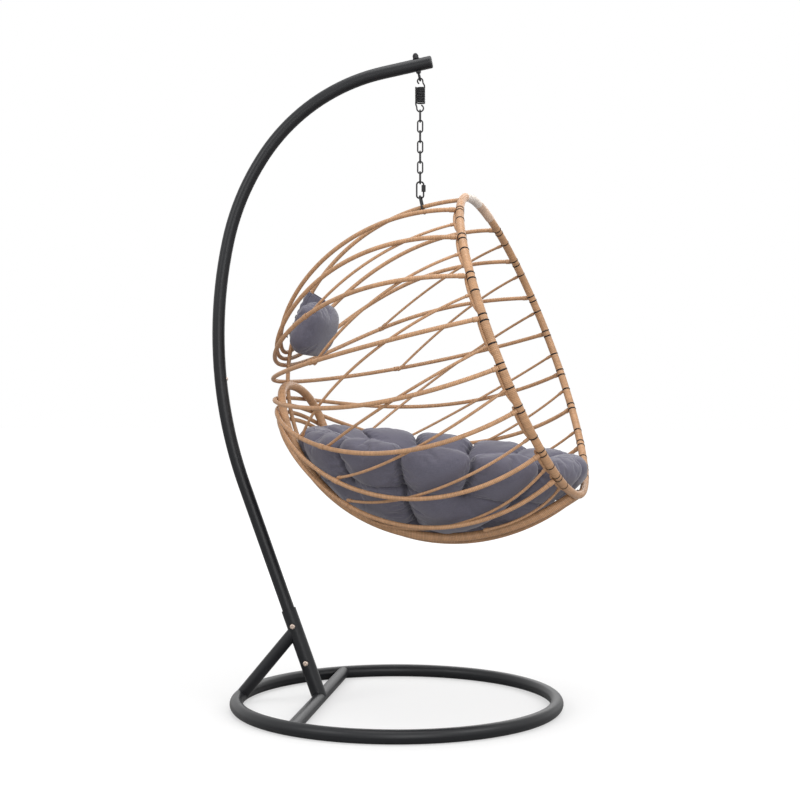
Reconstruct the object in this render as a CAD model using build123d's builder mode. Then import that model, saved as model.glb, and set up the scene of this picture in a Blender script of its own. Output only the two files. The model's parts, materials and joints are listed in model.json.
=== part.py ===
"""Hanging egg chair: a ring-based stand with a swan-neck arm, a spring and chain, and a rod basket.

Millimetres. +X runs from the arm's foot towards the front, +Z up. The origin is the middle of
the base ring, on the floor.
"""

from build123d import *
from bisect import bisect_left
from itertools import accumulate
import math
import os

os.makedirs("parts", exist_ok=True)

# Clearances
REST_GAP = 0.3  # between pieces that hang in, lie on or pass by each other
BOLT_GAP = 0.2  # radial, bolt in its hole
SLIDE_GAP = 0.1  # radial, tube in tube and sleeve on wire

# Stand
RING_RADIUS = 480.0
RING_TUBE = 40.0
TUBE_WALL = 1.6
CROSSBAR_TUBE = 38.0
CROSSBAR_X = -235.0
ARM_TUBE = 38.0
ARM_LEAN = 20.0  # degrees back from vertical, at the foot
ARM_FOOT_RUN = 686.0  # from the crossbar's axis to the first bend
ARM_FIRST_BEND = (1344.0, 32.2)  # radius and turn, in degrees
ARM_SECOND_BEND = (737.0, 22.9)
ARM_THIRD_BEND = (576.0, 44.0)
ARM_TOP_RUN = 145.0
ARM_JOINT_TURN = 13.6  # into the first bend, where the two arm tubes meet
ARM_START = 85.0  # lower end of the arm inside the socket, from the crossbar's axis
SOCKET_TUBE = 45.0
SOCKET_LENGTH = 284.0  # from the crossbar's axis to the open top
SOCKET_BOLT_STATIONS = (114.0, 232.0)  # along the socket, from the crossbar's axis
BRACE_TUBE = 38.0
BRACE_STATION = 218.0  # where the brace's axis meets the socket's axis
JOINT_SLEEVE_LENGTH = 140.0
JOINT_SLEEVE_WALL = 2.0
JOINT_SCREW_RISE = 12.0  # above the seam between the arm tubes
JOINT_SCREW = 6.0
END_CAP_DOME = 6.0
END_CAP_SPIGOT = 20.0

# Bolts
SOCKET_BOLT = 8.0
SOCKET_BOLT_HEAD = (16.0, 5.0)  # diameter, height
WASHER = (18.0, 1.6)
NUT_FLATS = 13.0
NUT_HEIGHT = 6.5

# Eye bolt, spring and chain
EYE_SETBACK = 40.0  # along the arm, from its open end
EYE_SHANK = 10.0
EYE_WIRE = 6.5
EYE_RADIUS = 10.0  # centreline
EYE_DROP = 37.0  # from the arm's axis to the middle of the eye
EYE_COLLAR = 15.0
EYE_COLLAR_HEIGHT = 5.0
CAP_NUT = (17.0, 9.0)  # across flats, hexagon height
SPRING_WIRE = 4.4
SPRING_RADIUS = 13.3  # centreline
SPRING_PITCH = 5.0
SPRING_TURNS = 9.5
SPRING_TOP_HOOK = (8.0, 18.5)  # centreline radius, and distance from the coils
SPRING_LOWER_HOOK = (10.0, 16.0)
LINK_WIRE = 4.5
LINK_LENGTH = 40.2
LINK_WIDTH = 19.5
LINK_COUNT = 7
QUICK_WIRE = 5.0
QUICK_LENGTH = 53.5
QUICK_WIDTH = 25.7
QUICK_CORNER = 8.0
QUICK_SLEEVE = (11.0, 20.0)  # across flats, length
QUICK_SLEEVE_RISE = 19.0  # from the link's lowest wire to the sleeve
QUICK_GAP = 6.0  # opening in the link, behind the sleeve's upper end

# Basket: an ellipsoid of revolution about an axis that points back and down
SHELL_RADIUS = 512.0
SHELL_DEPTH = 545.0
MOUTH_SETBACK = 225.0  # from the rim's plane to the ellipsoid's middle
BASKET_TILT = 20.3  # the rim's plane, back from vertical
BASKET_TURN = 8.4  # about the chain, from the arm's plane
HANG_STATION = 98.2  # degrees along the spine, where the staple stands
STAPLE_RISE = 36.5  # from the spine's axis to the staple's top wire
RIM_TUBE = 24.0
RIM_WALL = 1.6
HOOP_ROD = 13.0
SLIM_ROD = 8.5
ARCH_TUBE = 26.0
HOOP_OFFSET = 4.2  # thick hoops, outside the ellipsoid
STAPLE_WIRE = 6.0
STAPLE_TAIL = 18.5  # below the spine's axis
PLATE = (36.0, 18.0, 3.0)
STAPLE_NUT = (10.0, 5.0)
ROUTE_RUN = 48.0  # about, between the points of a rod's route

# Hoops: angle on the rim, first pull point, reach of the second, and height behind.
# The angles are polar, in degrees round the shell from its rearmost point, with x up.
HOOPS = (
    (33.0, (82.0, 41.0), 22.0, 28.5),
    (50.5, (63.0, 47.0), 33.0, 26.3),
    (67.5, (48.0, 60.0), 40.0, 24.1),
    (82.8, (15.0, 76.0), 43.0, 18.5),
    (99.7, (-9.0, 68.0), 39.0, 13.0),
    (115.0, (-32.0, 62.0), 36.0, 10.5),
    (133.7, (-52.0, 46.0), 41.0, 8.0),
    (148.4, (-54.0, 22.0), 45.0, 5.5),
)
# Slim rods: angle on the rim, pull point and end point, in the same degrees
SLIM_RODS = (
    (40.0, (61.0, 72.0), (36.0, 49.0)),
    (56.3, (37.0, 82.0), (16.0, 57.0)),
    (73.2, (10.0, 81.0), (-6.0, 39.5)),
    (91.7, (-11.0, 86.0), (-14.0, 49.0)),
    (107.1, (-37.0, 77.0), (-25.0, 43.0)),
    (126.6, (-54.0, 62.0), (-33.0, 34.0)),
    (141.5, (-86.0, 46.0), (-44.0, 26.0)),
    (155.7, (-104.0, 29.0), (-80.0, 31.0)),
)
ARCH_TOP = 17.0
ARCH_HALF_WIDTH = 19.0
ARCH_KNEE = (-56.0, 23.0)
ARCH_RIM = 170.0

# Soft parts
CUSHION_THICKNESS = 112.0
CUSHION_BACK_HEIGHT = (700.0, -6.0)  # along the basket's axis, and up from it
CUSHION_FRONT_HEIGHT = (-20.0, -366.0)
CUSHION_GAP = 29.0  # inside the ellipsoid
CUSHION_EDGE = 30.0
CUSHION_SEGMENTS = 12  # padded segments round the dish, and half as many in the next row
CUSHION_TURN = 2.5  # of the first crease, from the dish's rear
CUSHION_ROWS = (70.0, 34.0)  # tufted rows, up from the dish's lowest point
CREASE_DEPTH = (24.0, 42.0)  # in the outer face and in the inner face
CREASE_SLOPE = 0.76  # half width over depth
CREASE_HEIGHT = 95.0
CREASE_OVERRUN = 6.0
PILLOW_SIZE = (300.0, 186.0, 92.0)  # across, high, thick
PILLOW_STATION = 39.5
PILLOW_ROUNDING = 40.0
PILLOW_SETBACK = 69.9  # middle of the pillow inside the ellipsoid
FLAP_STATIONS = (43.0, 50.0)  # along the spine, in degrees
FLAP_SECTION = (46.0, 28.0)  # across, deep
FLAP_THICKNESS = 2.4
TIE_STATIONS = (38.2, 41.0)
TIE_SECTION = (8.0, 2.0)
STRAP_GAP = 0.8


def sine(angle):
    return math.sin(math.radians(angle))


def cosine(angle):
    return math.cos(math.radians(angle))


# ---------------------------------------------------------------- the arm's line, in the XZ plane


def heading_vector(heading):
    """Direction that leans forward from vertical by the heading, in degrees."""
    return Vector(sine(heading), 0, cosine(heading))


def bend_point(start, heading, radius, turn):
    """Where a forward bend from start has got to after the turn."""
    centre = start + Vector(cosine(heading), 0, -sine(heading)) * radius
    return centre - Vector(cosine(heading + turn), 0, -sine(heading + turn)) * radius


FOOT = Vector(CROSSBAR_X, 0, RING_TUBE / 2)
FOOT_HEADING = -ARM_LEAN
FOOT_DIRECTION = heading_vector(FOOT_HEADING)
BEND_START = FOOT + FOOT_DIRECTION * ARM_FOOT_RUN
SEAM = bend_point(BEND_START, FOOT_HEADING, ARM_FIRST_BEND[0], ARM_JOINT_TURN)
SEAM_HEADING = FOOT_HEADING + ARM_JOINT_TURN


def add_bend(start, heading, radius, turn):
    """Draw one tangent arc of the arm and give its end point and heading."""
    middle = bend_point(start, heading, radius, turn / 2)
    end = bend_point(start, heading, radius, turn)
    ThreePointArc(start, middle, end)
    return end, heading + turn


def disc(plane, radius):
    """A round section on the plane."""
    with BuildSketch(plane) as section:
        Circle(radius)
    return section.sketch


def tube(plane, diameter, wall):
    """A tube's section on the plane."""
    with BuildSketch(plane) as section:
        Circle(diameter / 2)
        Circle(diameter / 2 - wall, mode=Mode.SUBTRACT)
    return section.sketch


# ---------------------------------------------------------------- stand

with BuildPart() as ring_core:
    with Locations((0, 0, RING_TUBE / 2)):
        Torus(RING_RADIUS, RING_TUBE / 2)

with BuildPart() as base_ring:
    add(ring_core.part)
    with Locations((0, 0, RING_TUBE / 2)):
        Torus(RING_RADIUS, RING_TUBE / 2 - TUBE_WALL, mode=Mode.SUBTRACT)
base_ring.part.label = "base_ring"
export_step(base_ring.part, "parts/base_ring.step")

CROSSBAR_REACH = math.sqrt(RING_RADIUS**2 - CROSSBAR_X**2)
CROSSBAR_END = Plane(origin=(CROSSBAR_X, -CROSSBAR_REACH, RING_TUBE / 2), z_dir=(0, 1, 0))

with BuildPart() as crossbar:
    extrude(tube(CROSSBAR_END, CROSSBAR_TUBE, TUBE_WALL), amount=2 * CROSSBAR_REACH)
    add(ring_core.part, mode=Mode.SUBTRACT)
crossbar.part = Part(crossbar.solids().sort_by(SortBy.VOLUME)[-1].wrapped)
crossbar.part.label = "crossbar"
export_step(crossbar.part, "parts/crossbar.step")

SOCKET_PLANE = Plane(origin=FOOT, x_dir=(0, 1, 0), z_dir=FOOT_DIRECTION)
ARM_BORE = ARM_TUBE / 2 - TUBE_WALL


def cross_bolt_plane(station, side):
    """Plane through the socket's middle, facing -Y or +Y, on a bolt's axis."""
    return Plane(origin=FOOT + FOOT_DIRECTION * station, z_dir=(0, side, 0))


with BuildPart() as socket_tube:
    extrude(disc(SOCKET_PLANE, SOCKET_TUBE / 2), amount=SOCKET_LENGTH)
    extrude(disc(SOCKET_PLANE, ARM_TUBE / 2 + SLIDE_GAP), amount=SOCKET_LENGTH, mode=Mode.SUBTRACT)
    extrude(disc(CROSSBAR_END, CROSSBAR_TUBE / 2), amount=2 * CROSSBAR_REACH, mode=Mode.SUBTRACT)
    for station in SOCKET_BOLT_STATIONS:
        hole = disc(cross_bolt_plane(station, 1), SOCKET_BOLT / 2 + BOLT_GAP)
        extrude(hole, amount=SOCKET_TUBE, both=True, mode=Mode.SUBTRACT)
socket_tube.part = Part(socket_tube.solids().sort_by(Axis.Z)[-1].wrapped)
socket_tube.part.label = "socket_tube"
export_step(socket_tube.part, "parts/socket_tube.step")

BRACE_FOOT = Vector(-RING_RADIUS, 0, RING_TUBE / 2)
BRACE_HEAD = FOOT + FOOT_DIRECTION * BRACE_STATION
BRACE_RUN = BRACE_HEAD - BRACE_FOOT

with BuildPart() as brace_tube:
    extrude(tube(Plane(origin=BRACE_FOOT, z_dir=BRACE_RUN), BRACE_TUBE, TUBE_WALL),
            amount=BRACE_RUN.length)
    add(ring_core.part, mode=Mode.SUBTRACT)
    extrude(disc(SOCKET_PLANE, SOCKET_TUBE / 2), amount=SOCKET_LENGTH, mode=Mode.SUBTRACT)
brace_tube.part = Part(brace_tube.solids().sort_by(SortBy.VOLUME)[-1].wrapped)
brace_tube.part.label = "brace_tube"
export_step(brace_tube.part, "parts/brace_tube.step")

SCREW_TURN = math.degrees(JOINT_SCREW_RISE / ARM_FIRST_BEND[0])
SCREW_POINT = bend_point(SEAM, SEAM_HEADING, ARM_FIRST_BEND[0], SCREW_TURN)
SCREW_SIDE = Vector(cosine(SEAM_HEADING + SCREW_TURN), 0, -sine(SEAM_HEADING + SCREW_TURN))
SCREW_PLANE = Plane(origin=SCREW_POINT, z_dir=SCREW_SIDE)
SCREW_SEAT = ARM_TUBE / 2 + SLIDE_GAP

with BuildPart() as lower_arm:
    with BuildLine():
        arm_start = FOOT + FOOT_DIRECTION * ARM_START
        Line(arm_start, BEND_START)
        add_bend(BEND_START, FOOT_HEADING, ARM_FIRST_BEND[0], ARM_JOINT_TURN)
    sweep(tube(Plane(origin=arm_start, z_dir=FOOT_DIRECTION), ARM_TUBE, TUBE_WALL))
    for station in SOCKET_BOLT_STATIONS:
        hole = disc(cross_bolt_plane(station, 1), SOCKET_BOLT / 2 + BOLT_GAP)
        extrude(hole, amount=SOCKET_TUBE, both=True, mode=Mode.SUBTRACT)
lower_arm.part.label = "lower_arm"
export_step(lower_arm.part, "parts/lower_arm.step")

with BuildPart() as upper_arm:
    with BuildLine():
        bend_end, heading = add_bend(SEAM, SEAM_HEADING, ARM_FIRST_BEND[0],
                                     ARM_FIRST_BEND[1] - ARM_JOINT_TURN)
        bend_end, heading = add_bend(bend_end, heading, *ARM_SECOND_BEND)
        bend_end, TIP_HEADING = add_bend(bend_end, heading, *ARM_THIRD_BEND)
        TIP_DIRECTION = heading_vector(TIP_HEADING)
        TIP = bend_end + TIP_DIRECTION * ARM_TOP_RUN
        Line(bend_end, TIP)
    sweep(tube(Plane(origin=SEAM, z_dir=heading_vector(SEAM_HEADING)), ARM_TUBE, TUBE_WALL))
    extrude(disc(SCREW_PLANE, JOINT_SCREW / 2 + BOLT_GAP), amount=ARM_TUBE, mode=Mode.SUBTRACT)
    EYE_TOP = TIP - TIP_DIRECTION * EYE_SETBACK
    EYE_DOWN = Vector(cosine(TIP_HEADING), 0, -sine(TIP_HEADING))
    EYE_PLANE = Plane(origin=EYE_TOP, x_dir=(0, 1, 0), z_dir=EYE_DOWN)
    extrude(disc(EYE_PLANE, EYE_SHANK / 2 + BOLT_GAP), amount=ARM_TUBE, both=True,
            mode=Mode.SUBTRACT)
upper_arm.part.label = "upper_arm"
export_step(upper_arm.part, "parts/upper_arm.step")

SLEEVE_HALF_TURN = math.degrees(JOINT_SLEEVE_LENGTH / 2 / ARM_FIRST_BEND[0])
SLEEVE_HEADING = SEAM_HEADING - SLEEVE_HALF_TURN
SLEEVE_START = bend_point(SEAM, SEAM_HEADING, ARM_FIRST_BEND[0], -SLEEVE_HALF_TURN)
SLEEVE_PLANE = Plane(origin=SLEEVE_START, z_dir=heading_vector(SLEEVE_HEADING))

with BuildPart() as arm_joint_sleeve:
    with BuildLine():
        add_bend(SLEEVE_START, SLEEVE_HEADING, ARM_FIRST_BEND[0], 2 * SLEEVE_HALF_TURN)
    sweep(tube(SLEEVE_PLANE, 2 * (ARM_BORE - SLIDE_GAP), JOINT_SLEEVE_WALL))
    extrude(disc(SCREW_PLANE, JOINT_SCREW / 2 + SLIDE_GAP / 2), amount=ARM_TUBE,
            mode=Mode.SUBTRACT)
arm_joint_sleeve.part.label = "arm_joint_sleeve"
export_step(arm_joint_sleeve.part, "parts/arm_joint_sleeve.step")

with BuildPart() as arm_joint_screw:
    screw_end = ARM_BORE - 3 * JOINT_SLEEVE_WALL
    extrude(disc(SCREW_PLANE.offset(screw_end), JOINT_SCREW / 2), amount=SCREW_SEAT - screw_end)
    extrude(disc(SCREW_PLANE.offset(SCREW_SEAT), JOINT_SCREW * 0.9), amount=JOINT_SCREW * 0.55)
    rounded = arm_joint_screw.edges().filter_by(GeomType.CIRCLE)
    fillet(rounded.group_by(Axis(SCREW_POINT, SCREW_SIDE))[-1], JOINT_SCREW * 0.25)
arm_joint_screw.part.label = "arm_joint_screw"
export_step(arm_joint_screw.part, "parts/arm_joint_screw.step")

CAP_PLANE = Plane(origin=TIP, x_dir=(0, 1, 0), z_dir=TIP_DIRECTION)

with BuildPart() as arm_end_cap:
    extrude(disc(CAP_PLANE, ARM_BORE - SLIDE_GAP), amount=-END_CAP_SPIGOT)
    extrude(disc(CAP_PLANE, ARM_TUBE / 2), amount=END_CAP_DOME)
    cap_edges = arm_end_cap.edges().filter_by(GeomType.CIRCLE)
    fillet(cap_edges.group_by(Axis(TIP, TIP_DIRECTION))[-1], END_CAP_DOME * 0.9)
arm_end_cap.part.label = "arm_end_cap"
export_step(arm_end_cap.part, "parts/arm_end_cap.step")

WASHER_FACE = SOCKET_TUBE / 2 + WASHER[1]

with BuildPart() as socket_bolts:
    for station in SOCKET_BOLT_STATIONS:
        shank = disc(cross_bolt_plane(station, 1).offset(-WASHER_FACE), SOCKET_BOLT / 2)
        extrude(shank, amount=2 * WASHER_FACE + NUT_HEIGHT + WASHER[1])
        head_plane = cross_bolt_plane(station, -1).offset(WASHER_FACE)
        extrude(disc(head_plane, SOCKET_BOLT_HEAD[0] / 2), amount=SOCKET_BOLT_HEAD[1])
    fillet(socket_bolts.edges().group_by(Axis.Y)[0], SOCKET_BOLT_HEAD[1] * 0.6)
    for station in SOCKET_BOLT_STATIONS:
        head_plane = cross_bolt_plane(station, -1).offset(WASHER_FACE + SOCKET_BOLT_HEAD[1])
        with BuildSketch(head_plane):
            RegularPolygon(SOCKET_BOLT * 0.36, 6)
        extrude(amount=-SOCKET_BOLT_HEAD[1] * 0.6, mode=Mode.SUBTRACT)
socket_bolts.part.label = "socket_bolts"
export_step(socket_bolts.part, "parts/socket_bolts.step")

with BuildPart() as socket_washers:
    for station in SOCKET_BOLT_STATIONS:
        for side in (-1, 1):
            with BuildSketch(cross_bolt_plane(station, side).offset(SOCKET_TUBE / 2)):
                Circle(WASHER[0] / 2)
                Circle(SOCKET_BOLT / 2 + BOLT_GAP, mode=Mode.SUBTRACT)
            extrude(amount=WASHER[1])
socket_washers.part.label = "socket_washers"
export_step(socket_washers.part, "parts/socket_washers.step")

with BuildPart() as socket_nuts:
    for station in SOCKET_BOLT_STATIONS:
        with BuildSketch(cross_bolt_plane(station, 1).offset(WASHER_FACE)):
            RegularPolygon(NUT_FLATS / 2, 6, major_radius=False)
            Circle(SOCKET_BOLT / 2 + SLIDE_GAP / 2, mode=Mode.SUBTRACT)
        extrude(amount=NUT_HEIGHT)
socket_nuts.part.label = "socket_nuts"
export_step(socket_nuts.part, "parts/socket_nuts.step")

# ---------------------------------------------------------------- eye bolt, spring and chain

EYE_CENTRE = EYE_TOP + EYE_DOWN * EYE_DROP
EYE_LOWEST = EYE_CENTRE + EYE_DOWN * EYE_RADIUS
NUT_SEAT = ARM_TUBE / 2 + WASHER[1]

with BuildPart() as eye_bolt:
    extrude(disc(EYE_PLANE.offset(-NUT_SEAT - CAP_NUT[1]), EYE_SHANK / 2),
            amount=NUT_SEAT + CAP_NUT[1] + EYE_DROP - EYE_RADIUS)
    extrude(disc(EYE_PLANE.offset(ARM_TUBE / 2), EYE_COLLAR / 2), amount=EYE_COLLAR_HEIGHT)
    with Locations(Plane(origin=EYE_CENTRE, x_dir=EYE_DOWN, z_dir=TIP_DIRECTION).location):
        Torus(EYE_RADIUS, EYE_WIRE / 2)
eye_bolt.part.label = "eye_bolt"
export_step(eye_bolt.part, "parts/eye_bolt.step")

with BuildPart() as eye_bolt_washer:
    with BuildSketch(EYE_PLANE.offset(-NUT_SEAT)):
        Circle(WASHER[0] / 2 + 1)
        Circle(EYE_SHANK / 2 + BOLT_GAP, mode=Mode.SUBTRACT)
    extrude(amount=WASHER[1])
eye_bolt_washer.part.label = "eye_bolt_washer"
export_step(eye_bolt_washer.part, "parts/eye_bolt_washer.step")

with BuildPart() as eye_bolt_cap_nut:
    with BuildSketch(EYE_PLANE.offset(-NUT_SEAT)):
        RegularPolygon(CAP_NUT[0] / 2, 6, major_radius=False)
    extrude(amount=-CAP_NUT[1])
    with Locations(EYE_PLANE.offset(-NUT_SEAT - CAP_NUT[1]).location):
        Sphere(CAP_NUT[0] / 2 - 1)
    extrude(disc(EYE_PLANE.offset(-NUT_SEAT), EYE_SHANK / 2 + SLIDE_GAP / 2),
            amount=-CAP_NUT[1] - SLIDE_GAP, mode=Mode.SUBTRACT)
eye_bolt_cap_nut.part.label = "eye_bolt_cap_nut"
export_step(eye_bolt_cap_nut.part, "parts/eye_bolt_cap_nut.step")

HANG_X = EYE_LOWEST.X
TOP_HOOK_Z = EYE_LOWEST.Z + (EYE_WIRE + SPRING_WIRE) / 2 + REST_GAP - SPRING_TOP_HOOK[0]
COIL_TOP_Z = TOP_HOOK_Z - SPRING_TOP_HOOK[1]
COIL_BOTTOM_Z = COIL_TOP_Z - SPRING_PITCH * SPRING_TURNS
LOWER_HOOK_Z = COIL_BOTTOM_Z - SPRING_LOWER_HOOK[1]

with BuildPart() as spring:
    with BuildLine(Plane(origin=(HANG_X, 0, COIL_BOTTOM_Z), x_dir=(-1, 0, 0))) as coil:
        Helix(SPRING_PITCH, SPRING_PITCH * SPRING_TURNS, SPRING_RADIUS)
    sweep(disc(Plane(origin=coil.line @ 0, z_dir=coil.line % 0), SPRING_WIRE / 2), is_frenet=True)
    for side, coil_z, hook_z, (radius, rise) in (
        (1, COIL_TOP_Z, TOP_HOOK_Z, SPRING_TOP_HOOK),
        (-1, COIL_BOTTOM_Z, LOWER_HOOK_Z, SPRING_LOWER_HOOK),
    ):
        coil_side, hook_side = side * SPRING_RADIUS, side * radius
        with BuildLine(Plane(origin=(HANG_X, 0, hook_z), x_dir=(1, 0, 0), z_dir=(0, -1, 0))) as hook:
            Bezier((coil_side, -side * rise), (coil_side, -side * rise / 2),
                   (hook_side, -side * rise / 2), (hook_side, 0))
            CenterArc((0, 0), radius, 90 - side * 90, 250)
        sweep(disc(Plane(origin=hook.line @ 0, z_dir=hook.line % 0), SPRING_WIRE / 2))
        with Locations((HANG_X + side * SPRING_RADIUS, 0, coil_z)):
            Sphere(SPRING_WIRE / 2)
spring.part.label = "spring"
export_step(spring.part, "parts/spring.step")


def sweep_loop(plane, length, width, corner, wire):
    """A closed loop of round wire, upright in the plane, with its lowest wire at the origin."""
    across, along = (width - wire) / 2, length - wire
    with BuildLine(plane) as route:
        FilletPolyline((across, 0), (across, along), (-across, along), (-across, 0),
                       radius=corner, close=True)
    sweep(disc(Plane(origin=route.line @ 0, z_dir=route.line % 0), wire / 2), path=route.wire())


LINK_DROP = LINK_LENGTH - LINK_WIRE
LINK_PITCH = LINK_DROP - LINK_WIRE - REST_GAP
FIRST_LINK_Z = (LOWER_HOOK_Z - SPRING_LOWER_HOOK[0] + (SPRING_WIRE + LINK_WIRE) / 2 + REST_GAP
                - LINK_DROP)

for number in range(LINK_COUNT):
    link_z = FIRST_LINK_Z - number * LINK_PITCH
    across, facing = ((0, 1, 0), (1, 0, 0)) if number % 2 == 0 else ((1, 0, 0), (0, -1, 0))
    with BuildPart() as chain_link:
        sweep_loop(Plane(origin=(HANG_X, 0, link_z), x_dir=across, z_dir=facing), LINK_LENGTH,
                   LINK_WIDTH, (LINK_WIDTH - LINK_WIRE) * 0.49, LINK_WIRE)
    chain_link.part.label = f"chain_link_{number + 1}"
    export_step(chain_link.part, f"parts/chain_link_{number + 1}.step")

QUICK_Z = link_z + (LINK_WIRE + QUICK_WIRE) / 2 + REST_GAP - (QUICK_LENGTH - QUICK_WIRE)
QUICK_SIDE_X = HANG_X + (QUICK_WIDTH - QUICK_WIRE) / 2
SLEEVE_TOP_Z = QUICK_Z + QUICK_SLEEVE_RISE + QUICK_SLEEVE[1]

with BuildPart() as quick_link:
    sweep_loop(Plane(origin=(HANG_X, 0, QUICK_Z), x_dir=(1, 0, 0), z_dir=(0, -1, 0)),
               QUICK_LENGTH, QUICK_WIDTH, QUICK_CORNER, QUICK_WIRE)
    with Locations((QUICK_SIDE_X, 0, SLEEVE_TOP_Z - QUICK_GAP)):
        Box(2 * QUICK_WIRE, 2 * QUICK_WIRE, QUICK_GAP, mode=Mode.SUBTRACT)
quick_link.part.label = "quick_link"
export_step(quick_link.part, "parts/quick_link.step")

with BuildPart() as quick_link_sleeve:
    with BuildSketch(Plane(origin=(QUICK_SIDE_X, 0, QUICK_Z + QUICK_SLEEVE_RISE))):
        RegularPolygon(QUICK_SLEEVE[0] / 2, 6, major_radius=False)
        Circle(QUICK_WIRE / 2 + SLIDE_GAP, mode=Mode.SUBTRACT)
    extrude(amount=QUICK_SLEEVE[1])
quick_link_sleeve.part.label = "quick_link_sleeve"
export_step(quick_link_sleeve.part, "parts/quick_link_sleeve.step")

# ---------------------------------------------------------------- basket frame


def shell_point(x, y, offset):
    """Point outside the ellipsoid at polar angles x and y, as (along the axis, up, sideways)."""
    polar = math.hypot(x, y)
    around = math.degrees(math.atan2(y, x))
    radius = (SHELL_RADIUS + offset) * sine(polar)
    return Vector(MOUTH_SETBACK + (SHELL_DEPTH + offset) * cosine(polar),
                  radius * cosine(around), radius * sine(around))


def spine_normal(x):
    """Outward direction from the ellipsoid on its plane of symmetry."""
    return Vector(cosine(x) / SHELL_DEPTH, sine(x) / SHELL_RADIUS, 0).normalized()


CROWN_OFFSET = HOOP_OFFSET - HOOP_ROD - REST_GAP
SLIM_OFFSET = HOOP_OFFSET - (HOOP_ROD + SLIM_ROD) / 2 - REST_GAP
ARCH_OFFSET = HOOP_OFFSET - (HOOP_ROD + ARCH_TUBE) / 2 - REST_GAP
RIM_POLAR = math.degrees(math.acos(-MOUTH_SETBACK / SHELL_DEPTH))
RIM_RADIUS = SHELL_RADIUS * sine(RIM_POLAR)

FORWARD = Vector(cosine(BASKET_TURN), -sine(BASKET_TURN), 0)
SIDE = Vector(sine(BASKET_TURN), cosine(BASKET_TURN), 0)
BACK = -(FORWARD * cosine(BASKET_TILT) + Vector(0, 0, sine(BASKET_TILT)))
UP = SIDE.cross(BACK)
STAPLE_TOP = Vector(HANG_X, 0, QUICK_Z + (QUICK_WIRE + STAPLE_WIRE) / 2 + REST_GAP)
STAPLE_SEAT = shell_point(HANG_STATION, 0, CROWN_OFFSET)
STAPLE_REACH = STAPLE_SEAT + spine_normal(HANG_STATION) * STAPLE_RISE
MOUTH_CENTRE = STAPLE_TOP - BACK * STAPLE_REACH.X - UP * STAPLE_REACH.Y
BASKET = Plane(origin=MOUTH_CENTRE, x_dir=BACK, z_dir=SIDE)


def bezier(points, share):
    """Point on a Bezier curve of any order, by repeated blending."""
    while len(points) > 1:
        points = [tuple(a + (b - a) * share for a, b in zip(p, q))
                  for p, q in zip(points, points[1:])]
    return points[0]


def shell_route(controls, offset, end_offset=None):
    """Evenly spaced points over the ellipsoid, under a Bezier curve of polar angles.

    Rounding the corners between the points draws the rod in by the sagitta of one run, so the
    points stand that much further out. Near the end the offset can ease to another value.
    """
    fine = [bezier(controls, k / 200) for k in range(201)]
    trail = [shell_point(x, y, offset) for x, y in fine]
    lengths = list(accumulate((b - a).length for a, b in zip(trail, trail[1:])))
    count = round(lengths[-1] / ROUTE_RUN)
    lift = (lengths[-1] / count) ** 2 / (8 * SHELL_RADIUS)
    ease = 0 if end_offset is None else end_offset - offset
    points = []
    for k in range(count + 1):
        x, y = fine[min(200, bisect_left(lengths, lengths[-1] * k / count) + (k > 0))]
        points.append(shell_point(x, y, offset + lift + ease * (k / count) ** 6))
    return points


def mirrored(points):
    """The same points on the other side of the basket."""
    return [Vector(p.X, p.Y, -p.Z) for p in points]


def sweep_rod(points, diameter, wall=None):
    """A rod, or a tube with a wall, through the basket's points with rounded corners."""
    points = [BASKET.from_local_coords(p) for p in points]
    radii = []
    for a, b, c in zip(points, points[1:], points[2:]):
        turn = math.radians((b - a).get_angle(c - b))
        radii.append(0.45 * min((b - a).length, (c - b).length) / math.tan(turn / 2))
    with BuildLine() as route:
        FilletPolyline(*points, radius=radii)
    start = Plane(origin=route.line @ 0, z_dir=route.line % 0)
    sweep(tube(start, diameter, wall) if wall else disc(start, diameter / 2), path=route.wire())


with BuildPart() as rim_core:
    with Locations(Plane(origin=MOUTH_CENTRE, z_dir=BACK).location):
        Torus(RIM_RADIUS, RIM_TUBE / 2)

with BuildPart() as mouth_rim:
    with Locations(Plane(origin=MOUTH_CENTRE, z_dir=BACK).location):
        Torus(RIM_RADIUS, RIM_TUBE / 2)
        Torus(RIM_RADIUS, RIM_TUBE / 2 - RIM_WALL, mode=Mode.SUBTRACT)
mouth_rim.part.label = "mouth_rim"
export_step(mouth_rim.part, "parts/mouth_rim.step")


def rim_angle(around):
    """Polar angles of a place on the rim."""
    return RIM_POLAR * cosine(around), RIM_POLAR * sine(around)


ARCH_CORNER = (ARCH_TOP, 0.62 * ARCH_HALF_WIDTH)
ARCH_SHOULDER = (0.62 * ARCH_TOP, ARCH_HALF_WIDTH)
ARCH_LEG = (0, ARCH_HALF_WIDTH)
arch_top = shell_route([(ARCH_TOP, 0), ARCH_CORNER, ARCH_SHOULDER, ARCH_LEG], ARCH_OFFSET)
arch_leg = shell_route([ARCH_LEG, ARCH_KNEE, rim_angle(ARCH_RIM)], ARCH_OFFSET, 0)
arch_half = arch_top + arch_leg[1:]
arch_points = mirrored(arch_half)[:0:-1] + arch_half

with BuildPart() as arch_core:
    sweep_rod(arch_points, ARCH_TUBE)

with BuildPart() as back_arch:
    sweep_rod(arch_points, ARCH_TUBE, TUBE_WALL)
    add(rim_core.part, mode=Mode.SUBTRACT)
back_arch.part.label = "back_arch"
export_step(back_arch.part, "parts/back_arch.step")

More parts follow.
